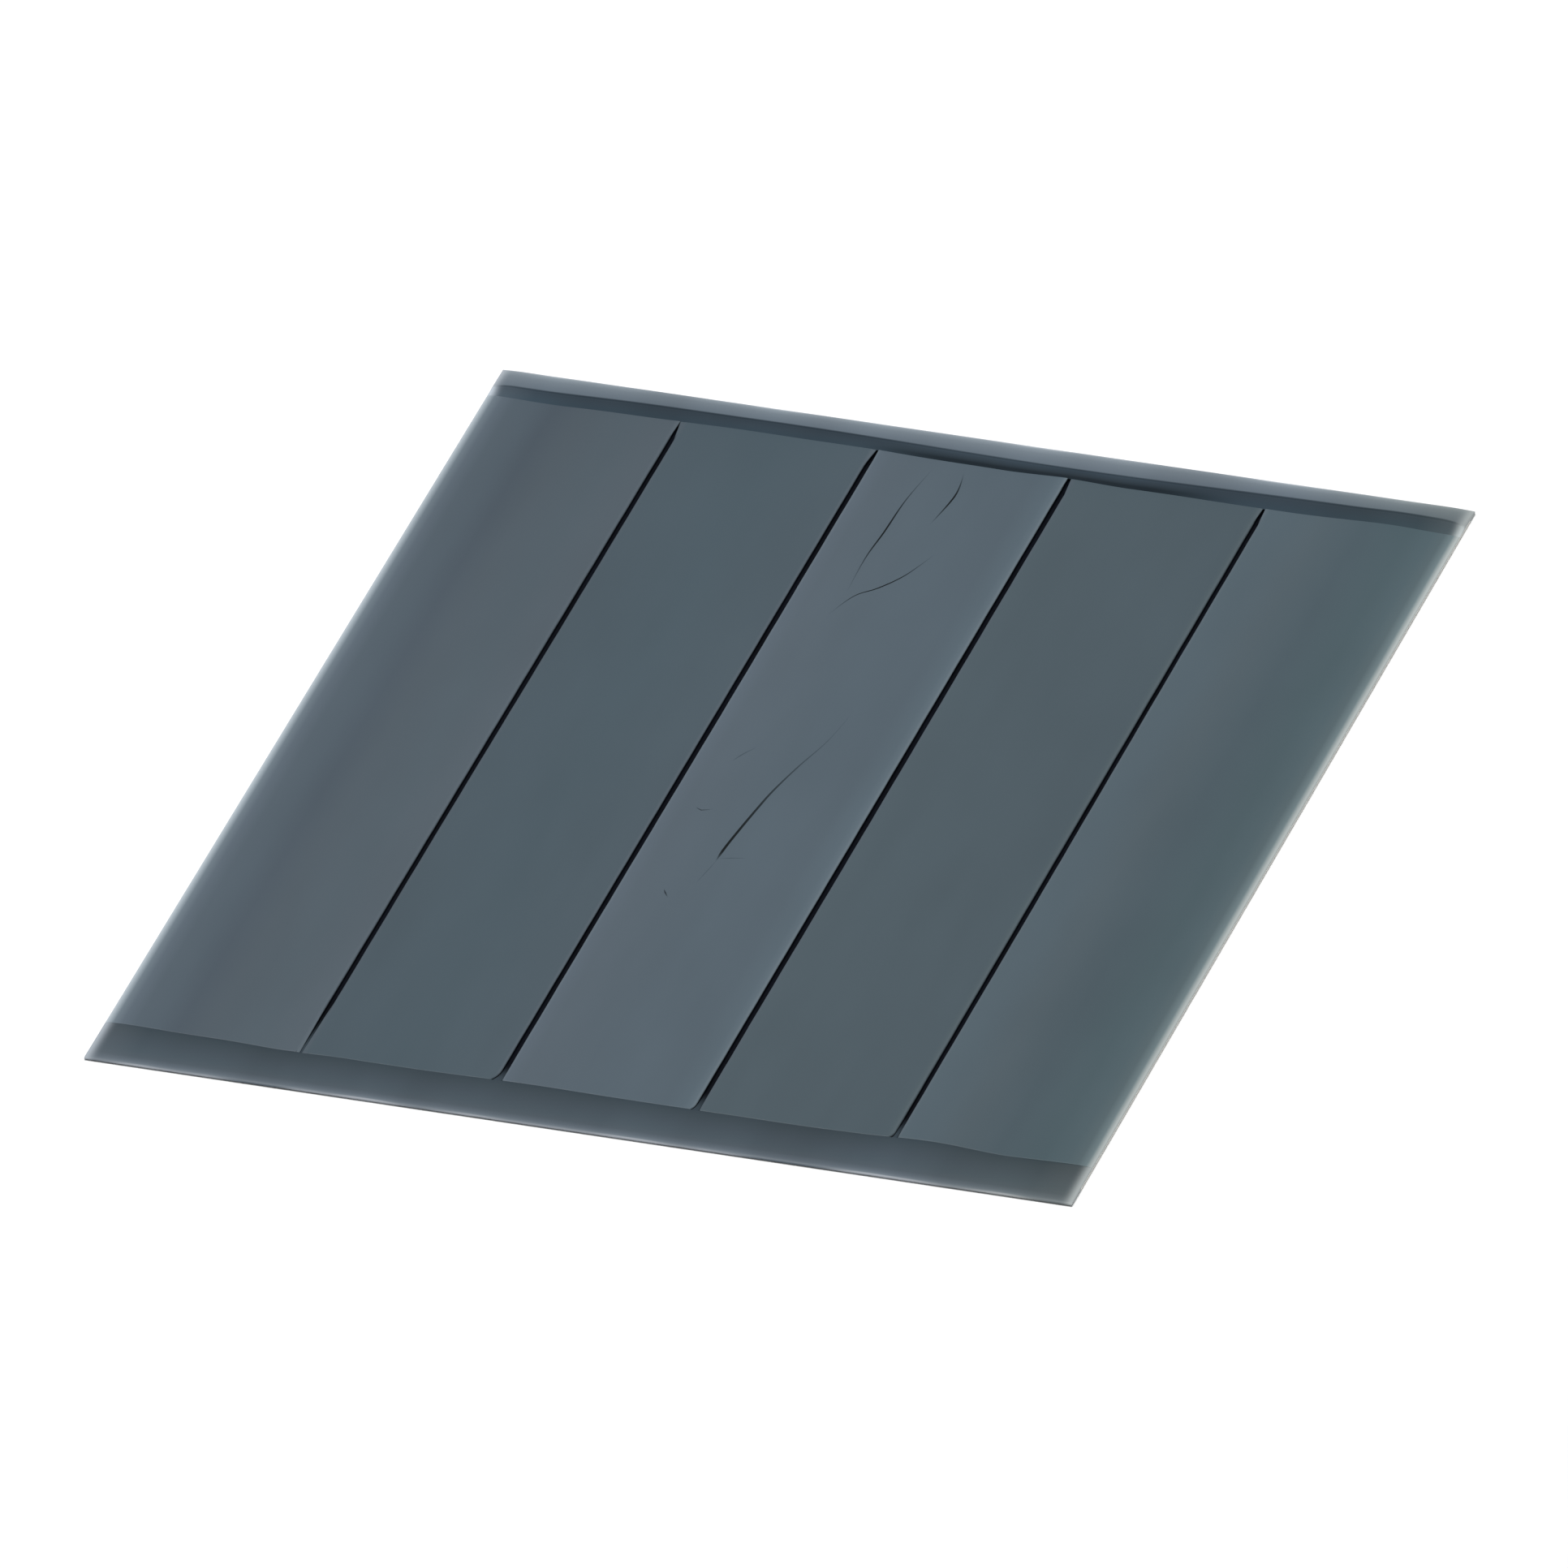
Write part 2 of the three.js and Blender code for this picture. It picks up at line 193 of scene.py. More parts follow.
def loft_faces(ring_count, ring_size):
    """Faces of a closed solid whose rings follow each other, with a flat cap at each end."""
    faces = []
    for ring in range(ring_count - 1):
        for index in range(ring_size):
            a = ring * ring_size + index
            b = ring * ring_size + (index + 1) % ring_size
            faces.append((a, b, b + ring_size, a + ring_size))
    faces.append(tuple(range(ring_size)))
    last = (ring_count - 1) * ring_size
    faces.append(tuple(last + index for index in reversed(range(ring_size))))
    return faces


def loft_piece(name, rings, material, slot, attribute):
    """A solid through rings of (point, value), with the values kept as an attribute of the points."""
    points = [point for ring in rings for point, _ in ring]
    values = [value for ring in rings for _, value in ring]
    faces = loft_faces(len(rings), len(rings[0]))
    return make_piece(name, points, faces, material, slot, **{attribute: values})


def slab_faces(rows, columns):
    """Faces of a closed slab: a top grid, then a bottom grid of the same size."""
    under = rows * columns
    faces = []
    for row in range(rows - 1):
        for column in range(columns - 1):
            a = row * columns + column
            top = (a, a + 1, a + columns + 1, a + columns)
            faces.append(top)
            faces.append(tuple(index + under for index in reversed(top)))
    rim = [row * columns for row in range(rows)]
    rim += [(rows - 1) * columns + column for column in range(1, columns)]
    rim += [row * columns + columns - 1 for row in reversed(range(rows - 1))]
    rim += [column for column in reversed(range(1, columns - 1))]
    for here, after in zip(rim, rim[1:] + rim[:1]):
        faces.append((here, after, after + under, here + under))
    return faces


# ---------------------------------------------------------------- node materials


def linear(channel):
    """An sRGB channel from 0 to 255, made linear by that standard's curve."""
    share = channel / 255
    return share / 12.92 if share <= 0.04045 else ((share + 0.055) / 1.055) ** 2.4


LIGHT_ON_SHEET = 1.1  # how bright a white face lying level is under these lights
SHEEN_ON_SHEET = 0.026  # what the gloss adds to every colour at the camera's angle
DARKEST = 0.002
NOISE_SPAN = (0.3, 0.7)  # noise from 0 to 1 seldom leaves these


def seen(red, green, blue):
    """The base colour that shows as this sRGB colour on the level sheet."""
    base = [(linear(c) - SHEEN_ON_SHEET) / LIGHT_ON_SHEET for c in (red, green, blue)]
    return (*(max(DARKEST, value) for value in base), 1.0)


class Recipe:
    """One node material on a Principled shader, built a step at a time."""

    def __init__(self, name, **constants):
        self.material = bpy.data.materials.new(name)
        self.material.use_nodes = True
        self.tree = self.material.node_tree
        self.shader = self.tree.nodes["Principled BSDF"]
        for socket, value in constants.items():
            self.shader.inputs[socket.replace("_", " ")].default_value = value

    def feed(self, socket, value):
        """Link another node's socket in, or set a plain value."""
        if isinstance(value, bpy.types.NodeSocket):
            self.tree.links.new(value, socket)
        else:
            socket.default_value = value

    def node(self, kind, inputs=(), **settings):
        made = self.tree.nodes.new(kind)
        for key, value in settings.items():
            setattr(made, key, value)
        for key, value in dict(inputs).items():
            self.feed(made.inputs[key], value)
        return made

    def math(self, operation, first, second=0.0):
        return self.node("ShaderNodeMath", {0: first, 1: second}, operation=operation).outputs[0]

    def rest_place(self):
        """Where the point lies when the sheet is flat, in millimetres."""
        return self.node("ShaderNodeAttribute", attribute_name="rest_mm").outputs["Vector"]

    def object_place(self):
        """The same for a CAD node, whose mesh is in metres in the sheet's frame."""
        metres = self.node("ShaderNodeTexCoord").outputs["Object"]
        scaled = self.node("ShaderNodeVectorMath", {0: metres, "Scale": 1 / MM}, operation="SCALE")
        return scaled.outputs["Vector"]

    def attribute(self, name):
        return self.node("ShaderNodeAttribute", attribute_name=name).outputs["Fac"]

    def split(self, place):
        return self.node("ShaderNodeSeparateXYZ", {0: place}).outputs

    def stretch(self, place, x, y, z):
        scaled = self.node("ShaderNodeVectorMath", {0: place, 1: (x, y, z)}, operation="MULTIPLY")
        return scaled.outputs["Vector"]

    def noise(self, place, size, detail=3.0, roughness=0.55):
        """Noise from 0 to 1 whose features are about size millimetres across."""
        inputs = {"Vector": place, "Scale": 1 / size, "Detail": detail, "Roughness": roughness}
        return self.node("ShaderNodeTexNoise", inputs).outputs["Fac"]

    def between(self, value, low, high, at_low=0.0, at_high=1.0, soft=False):
        """The value's place from low to high, as at_low to at_high, and held there beyond them."""
        inputs = {"Value": value, 1: low, 2: high, 3: at_low, 4: at_high}
        kind = "SMOOTHSTEP" if soft else "LINEAR"
        return self.node("ShaderNodeMapRange", inputs, interpolation_type=kind).outputs["Result"]

    def vary(self, noise, at_low, at_high):
        """A value that follows the noise between these two."""
        return self.between(noise, *NOISE_SPAN, at_low, at_high)

    def tones(self, distance, stops):
        """A colour ramp over stops of (millimetres, colour)."""
        low, high = stops[0][0], stops[-1][0]
        ramp = self.node("ShaderNodeValToRGB", {"Fac": self.between(distance, low, high)})
        elements = ramp.color_ramp.elements
        while len(elements) < len(stops):
            elements.new(1.0)
        for element, (at, colour) in zip(elements, stops):
            element.position = (at - low) / (high - low)
            element.color = colour
        return ramp.outputs["Color"]

    def mix(self, share, first, second):
        """The first colour where share is 0, the second where it is 1."""
        made = self.node("ShaderNodeMix", data_type="RGBA")
        self.feed(made.inputs["Factor"], share)
        self.feed(made.inputs[6], first)
        self.feed(made.inputs[7], second)
        return made.outputs[2]

    def brighten(self, colour, factor):
        if isinstance(colour, tuple):
            colour = colour[:3]
        scaled = self.node("ShaderNodeVectorMath", {0: colour, "Scale": factor}, operation="SCALE")
        return scaled.outputs["Vector"]

    def tint(self, colour, share, by):
        """The colour times another, as far as share says."""
        tinted = self.node("ShaderNodeVectorMath", {0: colour, 1: by}, operation="MULTIPLY")
        return self.mix(share, colour, tinted.outputs["Vector"])

    def bump(self, height, depth_mm, below=None):
        """The shading normal of a relief this deep, over the relief below it."""
        inputs = {"Height": height, "Strength": 1.0, "Distance": depth_mm * MM}
        if below is not None:
            inputs["Normal"] = below
        return self.node("ShaderNodeBump", inputs).outputs["Normal"]

    def finish(self, **links):
        """Feed the shader's sockets and hand the material over."""
        for socket, value in links.items():
            self.feed(self.shader.inputs[socket.replace("_", " ")], value)
        return self.material


# Near black: the hinges' own elastomer, and painted shade on the film's sides and tips down in the seams
SEAL_AND_SHADE_BLACK = (0.0012, 0.002, 0.0045, 1.0)
GLOSS = 0.2
MATTE = 0.02

CREST_FROM_BACK = 23.0  # the rail's crest, from the sheet's back edge
FLANK_FROM_BACK = CREST_FROM_BACK - 0.5  # where the tones of the rail's flank set in

# The painted highlight rim along the outer edge of hem and rail, painted reflections that brighten and dim
# them along x, and the painted light at their ends
RIM_WAVER_LENGTH = 80.0
RIM_WAVER_REACH = 6  # times the waver: further in, the tones run straight
WAVER_SPAN = (0.35, 0.65)
ALONG_BRIGHTNESS = (1.06, 0.88)
RIM_LIGHT = seen(168, 176, 184)
END_LIGHT_REACH = 12.0
END_LIGHT_POWER = 3.6
END_GLOW = 0.075
END_GLOW_SPAN = (2.0, 28.0)
RIGHT_END_TINT = (1.04, 1.02, 0.92)
RIGHT_END_SPAN = (190.0, 285.0)

# The rail's flank: changes in its brightness, and the spans that they fade over
DEEP_SHADE_MIDDLE = 45.0
DEEP_SHADE_SPAN = (60.0, 125.0)
DEEP_SHADE_CHANGE = (0.3, -0.6)  # by the crest, and down by the film
LIT_END_SPAN = (6.0, 60.0)
LIT_END_CHANGE = 0.33

STRIP_SHADE_SPAN = (60.0, 380.0)


def flank_shade(recipe, x, from_edge, from_end):
    """How bright the rail's flank is: in deep shade by the film along its middle, lighter at its ends."""
    off_middle = recipe.math("ABSOLUTE", recipe.math("SUBTRACT", x, DEEP_SHADE_MIDDLE))
    middle = recipe.between(off_middle, *DEEP_SHADE_SPAN, 1.0, 0.0, soft=True)
    depth = recipe.between(from_edge, CREST_FROM_BACK + 1.0, CREST_FROM_BACK + 6.0, *DEEP_SHADE_CHANGE)
    lit_end = recipe.between(from_end, *LIT_END_SPAN, LIT_END_CHANGE, 0.0)
    change = recipe.math("ADD", recipe.math("MULTIPLY", middle, depth), lit_end)
    on_flank = recipe.between(from_edge, FLANK_FROM_BACK, CREST_FROM_BACK + 1.0, 0.0, 1.0)
    return recipe.math("ADD", recipe.math("MULTIPLY", change, on_flank), 1.0)


def film_family(name, tone_stops, shade_at_back=1.0, rim_waver=None, matte_from=None):
    """The satin skin of film, hem and rail: tones across it, soft mottling, grain and worn gloss.

    Tones run along x over a strip, which is shade_at_back times as bright near the rail. Over a
    moulded hem or rail they run from the sheet's edge inwards, and their light rim wavers by
    rim_waver millimetres. The tones carry painted light: painted highlights along the outer edges
    and the seams, and painted shade in the hollows, on the hem by the film and on the rail's
    flank. The rail is matte from matte_from inwards.
    """
    moulded = rim_waver is not None
    recipe = Recipe(name, Specular_IOR_Level=GLOSS)
    place = recipe.rest_place()
    x, y, _ = recipe.split(place)
    from_edge = recipe.attribute("from_edge")
    distance = x
    if moulded:
        along = recipe.noise(recipe.stretch(place, 1.0, 0.0, 0.0), RIM_WAVER_LENGTH, detail=1.0)
        waver = recipe.between(along, *WAVER_SPAN, -rim_waver, rim_waver)
        nearness = recipe.between(from_edge, 0.0, RIM_WAVER_REACH * rim_waver, 1.0, 0.0)
        distance = recipe.math("ADD", from_edge, recipe.math("MULTIPLY", waver, nearness))
    colour = recipe.tones(distance, [(at, seen(*channels)) for at, *channels in tone_stops])
    if moulded:
        # Painted reflections: the hem and rail brighten and dim in patches along x
        colour = recipe.brighten(colour, recipe.between(along, *WAVER_SPAN, *ALONG_BRIGHTNESS))
        # Painted light: the hem and rail run into the highlight rim and glow towards the sheet's sides
        from_end = recipe.math("SUBTRACT", HALF_WIDTH, recipe.math("ABSOLUTE", x))
        near_end = recipe.between(from_end, 0.0, END_LIGHT_REACH, 1.0, 0.0, soft=True)
        glow = recipe.between(from_end, *END_GLOW_SPAN, END_GLOW, 0.0)
        light = recipe.math("ADD", recipe.math("POWER", near_end, END_LIGHT_POWER), glow)
        colour = recipe.mix(light, colour, RIM_LIGHT)
        colour = recipe.tint(colour, recipe.between(x, *RIGHT_END_SPAN), RIGHT_END_TINT)
    else:
        colour = recipe.brighten(colour, recipe.between(y, *STRIP_SHADE_SPAN, 1.0, shade_at_back))
    clouds = recipe.noise(recipe.stretch(place, 1.0, 0.4, 1.0), size=70.0, detail=2.0)
    smears = recipe.noise(recipe.stretch(place, 1.0, 0.12, 1.0), size=16.0, detail=4.0)
    colour = recipe.brighten(colour, recipe.vary(clouds, 0.965, 1.035))
    colour = recipe.brighten(colour, recipe.vary(smears, 0.99, 1.01))
    # Painted shade: where the film rolls down into a seam, and on the tips in its slit, the colour goes to
    # black
    colour = recipe.mix(recipe.attribute("ink"), colour, SEAL_AND_SHADE_BLACK)
    grain = recipe.noise(place, size=0.9, detail=2.0)
    dents = recipe.noise(place, size=28.0, detail=1.0)
    normal = recipe.bump(grain, 0.006, below=recipe.bump(dents, 0.05))
    if matte_from is not None:
        colour = recipe.brighten(colour, flank_shade(recipe, x, from_edge, from_end))
        gloss = recipe.between(from_edge, matte_from, matte_from + 1.0, GLOSS, MATTE)
        recipe.finish(Specular_IOR_Level=gloss)
    roughness = recipe.between(smears, 0.25, 0.75, 0.36, 0.5)
    return recipe.finish(Base_Color=colour, Roughness=roughness, Normal=normal)


# Tones across each strip, from the outer edge or seam on its left to the one on its right:
# the place along x, then red, green and blue. Each strip has its own tone; the pale stops at the
# outer edges and beside the seams are painted highlights, and the dips over the long hollows are
# painted shade
STRIP_TONES = {
    1: [
        (-300, 194, 203, 210), (-298, 164, 175, 183), (-295, 113, 125, 134), (-290, 96, 107, 117),
        (-282, 88, 99, 108), (-270, 86, 97, 106), (-257, 82, 92, 101), (-240, 85, 95, 103),
        (-210, 86, 97, 105), (-184, 88, 98, 106), (-182, 95, 105, 113),
    ],
    2: [
        (-178, 84, 94, 102), (-176, 80, 92, 100), (-120, 80, 93, 101), (-64, 82, 94, 102),
        (-62, 92, 102, 110),
    ],
    3: [
        (-58, 103, 114, 123), (-56.5, 94, 105, 115), (-48, 91, 102, 111), (0, 89, 101, 110),
        (40, 88, 100, 109), (52, 91, 104, 113), (56, 96, 109, 118), (58, 109, 121, 129),
    ],
    4: [
        (62, 86, 96, 104), (64, 83, 95, 102), (75, 82, 94, 101), (174, 81, 93, 100),
        (176, 83, 95, 101), (178, 92, 103, 109),
    ],
    5: [
        (182, 94, 105, 113), (183.5, 87, 100, 108), (195, 86, 99, 107), (216, 85, 97, 104),
        (242, 80, 93, 100), (270, 80, 95, 101), (284, 84, 99, 105), (291, 90, 104, 109),
        (296, 112, 127, 131), (299, 178, 185, 184),
    ],
}

# Tones from the sheet's edge inwards, over the hem and over the rail. Both start with a painted highlight
# rim at the edge; the hem darkens towards the film in painted shade, and the rail has a painted highlight
# on its back slope and painted shade on its flank, from 23.2 mm in
HEM_TONES = [
    (0, 162, 168, 175), (1, 111, 121, 130), (4, 96, 106, 115), (8, 83, 93, 101),
    (14, 78, 89, 97), (25, 73, 83, 91), (34, 68, 78, 85), (41, 63, 73, 80),
]
RAIL_TONES = [
    (0, 214, 221, 226), (2, 163, 172, 180), (4.5, 136, 147, 156), (11, 117, 128, 137),
    (19, 106, 117, 127), (22.4, 102, 113, 123), (23.2, 74, 83, 91), (25, 69, 78, 86),
    (29, 70, 80, 88), (33, 71, 81, 89),
]

# How bright each strip is near the rail, times its tones
SHADE_AT_BACK = {1: 0.94, 2: 1.0, 3: 1.0, 4: 1.0, 5: 1.06}

film_materials = {
    strip: film_family(f"film_{strip}", STRIP_TONES[strip], SHADE_AT_BACK[strip]) for strip in STRIPS
}
hem_material = film_family("moulded_hem", HEM_TONES, rim_waver=1.0)
rail_material = film_family("moulded_rail", RAIL_TONES, rim_waver=2.6, matte_from=FLANK_FROM_BACK)


def web_surface():
    """The hinges' black elastomer, greyer where it rises out of the gap: painted light where the gap's
    shade lifts.
    """
    recipe = Recipe("hinge_elastomer", Specular_IOR_Level=0.04)
    place = recipe.rest_place()
    skin = recipe.noise(place, size=1.4, detail=3.0)
    dust = recipe.noise(recipe.stretch(place, 1.0, 0.1, 1.0), size=6.0)
    grey = recipe.brighten(seen(84, 95, 103), recipe.vary(dust, 0.95, 1.05))
    black = recipe.brighten(SEAL_AND_SHADE_BLACK, recipe.vary(dust, 0.7, 1.5))
    colour = recipe.mix(recipe.attribute("ink"), grey, black)
    roughness = recipe.vary(skin, 0.55, 0.75)
    return recipe.finish(Base_Color=colour, Roughness=roughness, Normal=recipe.bump(skin, 0.02))


def tinned_copper(name, place_of):
    """Tinned copper ribbon: brushed along its length, with dull patches."""
    recipe = Recipe(name, Metallic=1.0)
    place = place_of(recipe)
    brushed = recipe.noise(recipe.stretch(place, 0.05, 1.0, 1.0), size=0.35, detail=3.0)
    patches = recipe.noise(place, size=9.0, detail=3.0)
    dull = (0.36, 0.35, 0.33, 1.0)
    bright = (0.66, 0.66, 0.64, 1.0)
    colour = recipe.mix(recipe.between(patches, 0.4, 0.62), dull, bright)
    colour = recipe.brighten(colour, recipe.vary(brushed, 0.88, 1.1))
    roughness = recipe.between(patches, 0.35, 0.65, 0.42, 0.26)
    return recipe.finish(Base_Color=colour, Roughness=roughness, Normal=recipe.bump(brushed, 0.004))


CUT_EDGE = (0.5, 0.5, 0.47, 1.0)  # the pale edge where the layers were cut
WEAVE_PITCH = 1.6
SCRIBE_PITCH = 8.0


def backsheet_surface():
    """The underside skin: a dark woven polymer, scuffed and dusty where it lies on the ground."""
    recipe = Recipe("backsheet_polymer", Specular_IOR_Level=0.3)
    place = recipe.object_place()
    x, y, _ = recipe.split(place)
    thread = math.tau / WEAVE_PITCH
    across = recipe.math("SINE", recipe.math("MULTIPLY", x, thread))
    along = recipe.math("SINE", recipe.math("MULTIPLY", y, thread))
    weave = recipe.math("MULTIPLY", across, along)
    scuffs = recipe.noise(recipe.stretch(place, 1.0, 0.25, 1.0), size=14.0, detail=5.0, roughness=0.7)
    clean = (0.026, 0.03, 0.035, 1.0)
    dusty = (0.042, 0.046, 0.05, 1.0)
    colour = recipe.mix(recipe.between(scuffs, 0.3, 0.8), clean, dusty)
    colour = recipe.brighten(colour, recipe.between(weave, -1.0, 1.0, 0.9, 1.1))
    from_side = recipe.math("SUBTRACT", HALF_WIDTH, recipe.math("ABSOLUTE", x))
    colour = recipe.mix(recipe.between(from_side, 0.2, 0.8), CUT_EDGE, colour)
    roughness = recipe.vary(scuffs, 0.5, 0.72)
    return recipe.finish(Base_Color=colour, Roughness=roughness, Normal=recipe.bump(weave, 0.03))


def encapsulant_surface():
    """The milky layer that the cell lies in, seen along the sheet's outer sides."""
    recipe = Recipe("encapsulant", Specular_IOR_Level=0.5)
    place = recipe.object_place()
    milk = recipe.noise(place, size=5.0, detail=4.0)
    thin = (0.6, 0.6, 0.56, 1.0)
    thick = (0.68, 0.68, 0.63, 1.0)
    colour = recipe.mix(recipe.between(milk, 0.35, 0.65), thin, thick)
    roughness = recipe.vary(milk, 0.28, 0.42)
    return recipe.finish(Base_Color=colour, Roughness=roughness, Normal=recipe.bump(milk, 0.02))


def cell_surface():
    """A thin-film cell: near black, with fine scribe lines along y."""
    recipe = Recipe("thin_film_cell", Metallic=0.3, Specular_IOR_Level=0.5)
    place = recipe.object_place()
    x, _, _ = recipe.split(place)
    scribe = recipe.math("SINE", recipe.math("MULTIPLY", x, math.tau / SCRIBE_PITCH))
    line = recipe.between(scribe, 0.97, 1.0)
    depth = recipe.noise(place, size=40.0, detail=2.0)
    deep_blue = (0.008, 0.012, 0.022, 1.0)
    pale_blue = (0.014, 0.018, 0.03, 1.0)
    line_grey = (0.12, 0.12, 0.13, 1.0)
    colour = recipe.mix(line, recipe.mix(depth, deep_blue, pale_blue), line_grey)
    roughness = recipe.vary(depth, 0.2, 0.32)
    return recipe.finish(Base_Color=colour, Roughness=roughness, Normal=recipe.bump(line, -0.02))


SCRATCH_DARK = (0.001, 0.0035, 0.0045, 1.0)
SCRATCH_PALE = seen(89, 101, 110)  # the middle strip's own tone


def scratch_surface():
    """A scratch's dark line, faint towards its ends."""
    recipe = Recipe("scratch_line", Specular_IOR_Level=0.1)
    place = recipe.rest_place()
    flecks = recipe.noise(place, size=1.2, detail=3.0)
    colour = recipe.mix(recipe.attribute("ink"), SCRATCH_PALE, SCRATCH_DARK)
    colour = recipe.brighten(colour, recipe.vary(flecks, 0.92, 1.08))
    roughness = recipe.vary(flecks, 0.5, 0.65)
    return recipe.finish(Base_Color=colour, Roughness=roughness, Normal=recipe.bump(flecks, 0.01))


# ---------------------------------------------------------------- the strips' film

EVEN_STRIP_DROP = 0.2  # the odd strips stand a little prouder than the even ones
STRIP_TOPS = {strip: FILM_TOP if strip % 2 else FILM_TOP - EVEN_STRIP_DROP for strip in STRIPS}
FILM_UNDERSIDE = LAMINATE_TOP + 0.02  # just clear of the laminate, so that no two faces share a place
FILM_THINNEST = 0.1
FILM_STEP_ACROSS = 2.6
FILM_STEP_ALONG = 9.0
FILM_END_STEPS = (1.0, 1.4, 1.9, 2.5, 3.2, 4.2, 6.0, 9.0, 13.0, 18.0, 24.0)

Roll = namedtuple("Roll", "width height")
SEAM_ROLL = {1: Roll(1.4, 1.4), 2: Roll(1.0, 1.0), 3: Roll(1.0, 1.0), 4: Roll(1.4, 1.4)}
EDGE_TOP = 1.8  # the sheet's outer edge on all four sides
OUTER_ROLL = Roll(14.0, FILM_TOP - EDGE_TOP)
FILM_END_ROLL = Roll(0.7, 0.7)
SEAM_SHADE_ANGLE = 0.25  # below this angle, in radians, a side rolled into a seam is painted all black as the seam's shade
SEAM_SHADE_FADE = 0.45  # and it is bare this much further up

# A long shallow hollow in the film: it leans by lean millimetres in x for each one in y
Valley = namedtuple("Valley", "x lean width depth y_from y_to fade")
VALLEYS = {
    1: [Valley(-257, 0.0, 15, 0.34, -420, 420, 60), Valley(-205, 0.02, 16, 0.16, -420, 150, 160)],
    5: [Valley(246, 0.0, 17, 0.34, -420, 420, 60), Valley(256, -0.036, 2.4, 0.14, 236, 362, 40)],
}
SWELL = 0.1  # how far the film's slow waves dip below its top
FACE_CALM = 14  # waves and valleys fade out this near a strip's sides

# How far the film's rounded edge reaches over a seam, and still clears the next one at full fold
OVERHANG = {1: 0.27, 2: 0.42, 3: 0.42, 4: 0.36}

# How far each strip's front right and front left corners are cut back in a long soft flare
Flare = namedtuple("Flare", "width length")
RIGHT_FLARE = {1: Flare(1.3, 8), 2: Flare(3.3, 13), 3: Flare(1.9, 8), 4: Flare(2.0, 8), 5: Flare(0.6, 1)}
LEFT_FLARE = Flare(0.6, 1)
FLARE_CURVE = 2.2
SIDE_WAVER = 0.06
SIDE_DRIFT = 0.1

LAID_WAVE = (1.9, 360, 3.65)  # the slow wave that the back line and the rail's crest share

# Soft humps and hollows of the hand-laid lines: middle, reach to each side, height
FRONT_SWELLS = [(-290, 70, 1.6), (-190, 40, -2.0), (-50, 60, 1.7), (170, 100, 1.9), (205, 45, 2.9)]
BACK_SWELLS = [(58, 40, 2.6), (195, 75, -3.3)]
CREST_SWELLS = [(-215, 75, 1.2), (285, 60, 2.5)]
LINE_CALM = 60  # the film lines' waves fade out this near the sheet's sides
CREST_CALM = 50
FRONT_LIFT = 2.6  # how far the front line moves inwards at its right end
FRONT_LIFT_LENGTH = 55
LINE_REACH = 26  # how far into the film its rows follow the lines


def swells(x, humps):
    """What the humps and hollows add up to at x."""
    return sum(height * smooth(1 - abs(x - middle) / reach) for middle, reach, height in humps)


def front_line(x):
    """Where film and hem meet."""
    inside = smooth((HALF_WIDTH - abs(x)) / LINE_CALM)
    near_right = smooth((x - HALF_WIDTH + FRONT_LIFT_LENGTH) / FRONT_LIFT_LENGTH)
    waves = inside * wave(x, (0.55, 236, 0.7), (0.25, 91, 2.1))
    return FILM_FRONT + waves + FRONT_LIFT * near_right + swells(x, FRONT_SWELLS)


def back_line(x):
    """Where film and rail meet."""
    inside = smooth((HALF_WIDTH - abs(x)) / LINE_CALM)
    waves = inside * (0.7 + wave(x, LAID_WAVE, (0.3, 83, 0.4)))
    return FILM_BACK + waves + swells(x, BACK_SWELLS)


def crest_line(x):
    """How far the rail's crest strays from straight, towards the back."""
    inside = smooth((HALF_WIDTH - abs(x)) / CREST_CALM)
    return inside * (0.6 + wave(x, LAID_WAVE)) + swells(x, CREST_SWELLS)


def film_face(strip, x, y):
    """The height of a strip's face, before its edges are rounded."""
    low, high = film_boxes[strip]
    inside = smooth(min(x - low[0], high[0] - x) / FACE_CALM)
    swell = wave(x + 0.2 * y, (0.5, 96, 0.3 * strip)) * wave(y, (1.0, 410, 0.8 * strip))
    height = STRIP_TOPS[strip] - SWELL * inside * (0.5 + swell)
    for valley in VALLEYS.get(strip, []):
        off = (x - valley.x - valley.lean * y) / valley.width
        along = smooth((y - valley.y_from) / valley.fade) * smooth((valley.y_to - y) / valley.fade)
        height -= valley.depth * math.exp(-off * off) * along * inside
    return height


def flared(flare, from_front):
    """How far a flare has drawn a side in, at a distance from the strip's front end."""
    return flare.width * max(0.0, 1 - from_front / flare.length) ** FLARE_CURVE


def side_shifts(strip, y):
    """How far the strip's left and right sides stray from straight at y."""
    left = right = 0.0
    from_front = y - FILM_FRONT
    if strip > 1:
        left = SIDE_WAVER * (1 + wave(y, (0.6, 71, strip), (0.4, 29, 2.0 * strip)))
        left += SIDE_DRIFT * (1 + wave(y, (1.0, 550, 4.0 + strip)))
        left += flared(LEFT_FLARE, from_front) - OVERHANG[strip - 1]
    if strip < 5:
        right = -SIDE_WAVER * (1 + wave(y, (0.6, 64, 1.5 * strip), (0.4, 33, strip)))
        right -= flared(RIGHT_FLARE[strip], from_front) - OVERHANG[strip]
    return left, right


